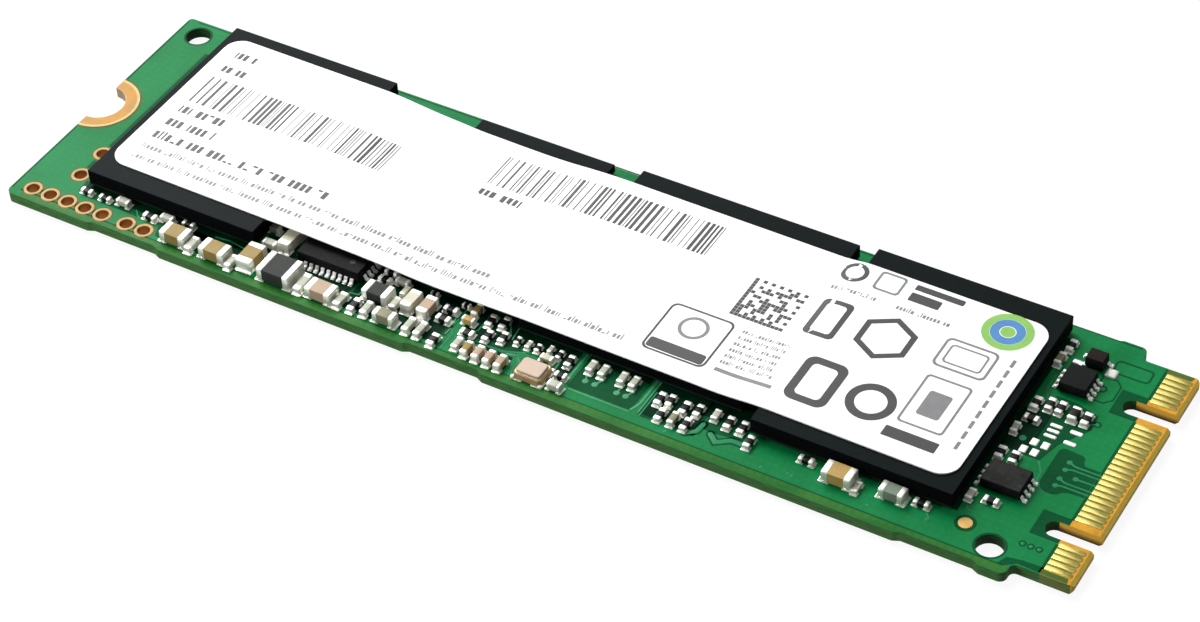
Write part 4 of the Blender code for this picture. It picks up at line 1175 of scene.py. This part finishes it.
# how far the far edge was cut short of a straight strip
FAR_PULL = ((-36.0, -0.12), (-33.0, -0.12), (-20.0, -0.16), (-10.0, -0.25), (0.0, -0.38), (32.0, -0.38))


def knots(table, x):
    for (x0, z0), (x1, z1) in zip(table, table[1:]):
        if x <= x1:
            return z0 + (z1 - z0) * max(0.0, (x - x0) / (x1 - x0))
    return table[-1][1]


def soft(table, x, w):
    return sum(knots(table, x + w * d) * k for d, k in ((-1, 0.15), (-0.5, 0.2), (0, 0.3), (0.5, 0.2), (1, 0.15)))


def drape(x, y):
    """Height of the film's underside: it bridges the gaps between packages."""
    far = min(1.0, max(0.0, (y + 1.9) / 5.9))
    far = far * far * (3 - 2 * far)
    z = soft(DRAPE_FAR, x, 0.55) * far + soft(DRAPE_NEAR, x, 0.8) * (1 - far)
    # faint ripples where nothing is right under the film
    free = max(0.0, min(1.0, (2.2 - z) / 0.3))
    z += 0.012 * free * noise.noise(Vector((x * 0.35, y * 0.22, 3.7)))
    return z


def to_world(u, v, lift, pull=False):
    """Label coordinates, from its centre, to the row frame."""
    x = LABEL_C[0] + u * cos(LABEL_TURN) - v * sin(LABEL_TURN)
    y = LABEL_C[1] + u * sin(LABEL_TURN) + v * cos(LABEL_TURN)
    if pull:
        y += knots(FAR_PULL, x) * min(1.0, max(0.0, (v + LABEL_W / 2) / LABEL_W))
    return (x, y, drape(x, y) + lift)


def draped(outlines, thick, lift, step=0.8, across=1.6, pull=False):
    """Flat outlines in label coordinates, cut fine and bent over the packages."""
    bm = filled(outlines, 0.0, thick)
    lo_u = min(p[0] for o in outlines for p in o)
    hi_u = max(p[0] for o in outlines for p in o)
    k = math.ceil(lo_u / step)
    while k * step < hi_u:
        bmesh.ops.bisect_plane(bm, geom=bm.verts[:] + bm.edges[:] + bm.faces[:], dist=1e-6, plane_co=(k * step, 0, 0), plane_no=(1, 0, 0))
        k += 1
    lo_v = min(p[1] for o in outlines for p in o)
    hi_v = max(p[1] for o in outlines for p in o)
    k = math.ceil(lo_v / across)
    while k * across < hi_v:
        bmesh.ops.bisect_plane(bm, geom=bm.verts[:] + bm.edges[:] + bm.faces[:], dist=1e-6, plane_co=(0, k * across, 0), plane_no=(0, 1, 0))
        k += 1
    for v in bm.verts:
        x, y, z = to_world(v.co.x, v.co.y, lift, pull)
        v.co = (x, y, z + v.co.z)
    return bm


def make_label():
    outline = rrect(-LABEL_L / 2, -LABEL_W / 2, LABEL_L / 2, LABEL_W / 2, 1.35, 12)
    bm = draped([outline], LABEL_T, 0.0, 0.6, 1.2, True)
    return make("product_label", bm, [FILM], ["product_label"], 50)


make_label()


def spot(x, y):
    """Row-frame point (read at the film's height) to label coordinates."""
    dx, dy = x - LABEL_C[0], y - LABEL_C[1]
    return (dx * cos(LABEL_TURN) + dy * sin(LABEL_TURN), -dx * sin(LABEL_TURN) + dy * cos(LABEL_TURN))


PRINT = {"black": [], "grey": [], "blue": [], "green": []}


def block(kind, x0, y0, x1, y1, r=0.0):
    u0, v0 = spot(x0, y0)
    u1, v1 = spot(x1, y1)
    PRINT[kind].append([rrect(u0, v0, u1, v1, r, 4)] if r else [[(u0, v0), (u1, v0), (u1, v1), (u0, v1)]])


def frame_shape(kind, outer, inner):
    PRINT[kind].append([[spot(x, y) for x, y in outer], [spot(x, y) for x, y in inner]])


def shape(kind, points):
    PRINT[kind].append([[spot(x, y) for x, y in points]])


def barcode(x0, x1, y0, y1, seed):
    rng = random.Random(seed)
    x = x0
    while x < x1 - 0.1:
        w = rng.choice((0.09, 0.09, 0.12, 0.18, 0.26))
        if x + w > x1:
            break
        block("black", x, y0, x + w, y1)
        x += w + rng.choice((0.10, 0.13, 0.2, 0.3, 0.42))


def words(kind, x0, x1, y0, h, seed, gap=0.4):
    """A row of small plain blocks, ticks and dashes with the weight of small print."""
    rng = random.Random(seed)
    tall = 0.86 if kind == "black" else 0.70
    x = x0
    while x < x1 - 0.3:
        for _ in range(rng.randint(2, 7)):
            pick = rng.random()
            if pick < 0.50:
                w, low, high = rng.uniform(0.28, 0.42) * h, 0.08, tall
            elif pick < 0.84:
                w, low, high = 0.16 * h, 0.08, rng.choice((tall, 1.0, 1.0))
            else:
                w, low, high = rng.uniform(0.3, 0.46) * h, *rng.choice(((0.08, 0.27), (tall - 0.19, tall)))
            if x + w > x1:
                return
            block(kind, x, y0 + low * h, x + w, y0 + high * h)
            x += w + 0.15 * h
        x += gap * h


# left: short lines, a bar code, rating lines and small print, all plain bars
words("black", -33.1, -31.2, 7.0, 0.85, 1)
words("black", -33.1, -30.9, 5.3, 0.85, 2)
barcode(-33.15, -16.9, 1.55, 4.6, 11)
words("black", -33.15, -29.2, 0.15, 0.95, 3)
words("black", -33.15, -28.9, -1.4, 0.95, 4)
words("black", -33.15, -18.4, -2.95, 0.95, 5)
words("grey", -33.15, -4.0, -4.15, 0.62, 6)
words("grey", -33.15, 6.6, -5.3, 0.62, 7)
# middle: second bar code and its caption
barcode(-10.0, 7.3, 4.35, 7.45, 23)
words("black", -10.0, -6.6, 2.9, 0.95, 8)
# right: plain geometric stamps of like weight
frame_shape("black", circle(16.7, 7.35, 0.95, 36), circle(16.7, 7.35, 0.62, 36))
frame_shape("grey", rrect(18.3, 6.45, 20.2, 8.3, 0.3, 5), rrect(18.48, 6.63, 20.02, 8.12, 0.2, 5))
block("black", 20.9, 6.5, 23.1, 7.3, 0.1)
block("black", 20.9, 7.6, 24.4, 8.1, 0.1)
words("grey", 15.7, 19.2, 5.35, 0.5, 9)
words("grey", 20.6, 24.4, 5.35, 0.5, 10)
# generic square code
rng = random.Random(41)
cell = 0.3
for i in range(13):
    for j in range(13):
        solid = i == 0 or j == 0 or (i == 12 and j % 2 == 0) or (j == 12 and i % 2 == 0)
        if solid or (0 < i < 12 and 0 < j < 12 and rng.random() < 0.5):
            block("black", 11.15 + i * cell, 0.2 + j * cell, 11.15 + (i + 1) * cell - 0.02, 0.2 + (j + 1) * cell - 0.02)
hexa = [(21.3 + 2.1 * cos(radians(60 * k + 30)), 2.6 + 2.1 * sin(radians(60 * k + 30))) for k in range(6)]
hexb = [(21.3 + 1.62 * cos(radians(60 * k + 30)), 2.6 + 1.62 * sin(radians(60 * k + 30))) for k in range(6)]
frame_shape("black", hexa, hexb)
frame_shape("black", rrect(16.1, 0.75, 18.3, 4.4, 0.4, 6), rrect(16.5, 1.15, 17.9, 4.0, 0.25, 6))
frame_shape("grey", rrect(24.8, 1.85, 28.5, 4.65, 0.45, 6), rrect(24.98, 2.03, 28.32, 4.47, 0.33, 6))
frame_shape("grey", rrect(25.3, 2.35, 28.0, 4.15, 0.3, 6), rrect(25.44, 2.49, 27.86, 4.01, 0.2, 6))
frame_shape("black", rrect(7.5, -5.15, 12.15, -0.45, 0.5, 6), rrect(7.66, -4.99, 11.99, -0.61, 0.4, 6))
block("black", 7.75, -4.9, 11.9, -4.0, 0.2)
frame_shape("grey", circle(9.83, -2.1, 1.05, 36), circle(9.83, -2.1, 0.8, 36))
for k in range(6):
    words("grey", 12.8, 16.6, -1.05 - k * 0.62, 0.42, 60 + k)
block("grey", 12.8, -4.9, 16.9, -4.6)
frame_shape("black", rrect(17.7, -5.1, 20.7, -0.9, 0.7, 7), rrect(18.3, -4.5, 20.1, -1.5, 0.35, 7))
frame_shape("black", circle(23.05, -3.0, 1.65, 40), circle(23.05, -3.0, 1.05, 40))
frame_shape("grey", rrect(25.1, -3.7, 28.3, 1.0, 0.3, 5), rrect(25.27, -3.53, 28.13, 0.83, 0.2, 5))
block("grey", 25.9, -2.6, 27.5, -0.3, 0.2)
block("black", 24.8, -5.25, 28.5, -4.35, 0.08)
for k in range(9):
    block("grey", 29.35, -4.3 + k * 1.02, 29.6, -4.3 + k * 1.02 + 0.72, 0.05)
# round two-tone seal
disc = circle(27.95, 6.75, 1.72, 48)
frame_shape("green", disc, circle(27.95, 6.75, 1.18, 48))
frame_shape("blue", circle(27.95, 6.75, 1.16, 48), circle(27.95, 6.75, 0.55, 40))
shape("green", circle(27.95, 6.75, 0.5, 32))

for kind, ink in (("black", INK), ("grey", INK_GREY), ("blue", INK_BLUE), ("green", INK_GREEN)):
    total = bmesh.new()
    for group in PRINT[kind]:
        merge(total, draped(group, 0.004, LABEL_T + 0.001, 0.8, 1.6))
    make("label_print_" + kind, total, [ink], (), 60)

# =============================================================================
# stage: floor, light, camera
# =============================================================================


def studio():
    floor_mesh = bpy.data.meshes.new("floor")
    bm = bmesh.new()
    bmesh.ops.create_grid(bm, x_segments=1, y_segments=1, size=3.0)
    bmesh.ops.translate(bm, vec=(0, 0, -0.00002), verts=bm.verts)
    bm.to_mesh(floor_mesh)
    bm.free()
    floor = bpy.data.objects.new("floor", floor_mesh)
    bpy.context.scene.collection.objects.link(floor)
    mat = bpy.data.materials.new("studio_floor")
    mat.use_nodes = True
    bsdf = mat.node_tree.nodes["Principled BSDF"]
    bsdf.inputs["Base Color"].default_value = (0.09, 0.09, 0.09, 1)
    bsdf.inputs["Roughness"].default_value = 0.9
    bsdf.inputs["Specular IOR Level"].default_value = 0.1
    bsdf.inputs["Emission Color"].default_value = (1, 1, 1, 1)
    bsdf.inputs["Emission Strength"].default_value = 0.9
    floor_mesh.materials.append(mat)
    floor.visible_diffuse = False

    world = bpy.data.worlds.new("studio")
    bpy.context.scene.world = world
    world.use_nodes = True
    bg = world.node_tree.nodes["Background"]
    bg.inputs["Color"].default_value = (1, 1, 1, 1)
    bg.inputs["Strength"].default_value = 0.13

    def area(name, place_, target, size, power, colour=(1, 1, 1)):
        data = bpy.data.lights.new(name, "AREA")
        data.shape = "RECTANGLE"
        data.size, data.size_y = size
        data.energy = power
        data.color = colour
        obj = bpy.data.objects.new(name, data)
        bpy.context.scene.collection.objects.link(obj)
        obj.location = place_
        obj.rotation_euler = (Vector(target) - Vector(place_)).to_track_quat("-Z", "Y").to_euler()
        return obj

    area("key", (-0.20, 0.10, 0.27), (0, 0, 0), (0.14, 0.14), 1.05)
    area("glow", (-0.29, 0.25, 0.28), (-0.04, 0, 0), (0.2, 0.2), 0.34)
    area("fill", (-0.16, -0.20, 0.10), (-0.03, 0, 0), (0.08, 0.08), 0.42)
    area("back", (-0.27, 0.36, 0.36), (0, 0, 0), (0.4, 0.4), 1.25)
    area("top", (0.10, 0.0, 0.42), (0, 0, 0), (0.35, 0.35), 0.42)


studio()


def camera():
    az, el, roll, dist, tx, ty, focal = 32.6545, 43.0354, -3.4006, 206.745, 1.2631, -1.7075, 3093.99
    a, e, r = radians(az), radians(el), radians(roll)
    back = Vector((sin(a) * cos(e), -cos(a) * cos(e), sin(e)))
    right = Vector((0, 0, 1)).cross(back).normalized()
    up = back.cross(right)
    r2 = cos(r) * right + sin(r) * up
    u2 = -sin(r) * right + cos(r) * up
    where = (back * dist + r2 * tx + u2 * ty) * MM
    data = bpy.data.cameras.new("camera")
    data.sensor_width = 36.0
    data.lens = focal / 1200 * 36.0
    data.clip_start, data.clip_end = 0.005, 20.0
    cam = bpy.data.objects.new("camera", data)
    bpy.context.scene.collection.objects.link(cam)
    cam.matrix_world = Matrix(((r2.x, u2.x, back.x, where.x), (r2.y, u2.y, back.y, where.y),
                               (r2.z, u2.z, back.z, where.z), (0, 0, 0, 1)))
    bpy.context.scene.camera = cam


camera()
view = bpy.context.scene.view_settings
view.view_transform = "Standard"
view.look = "None"
view.exposure = 0.0
view.gamma = 1.0
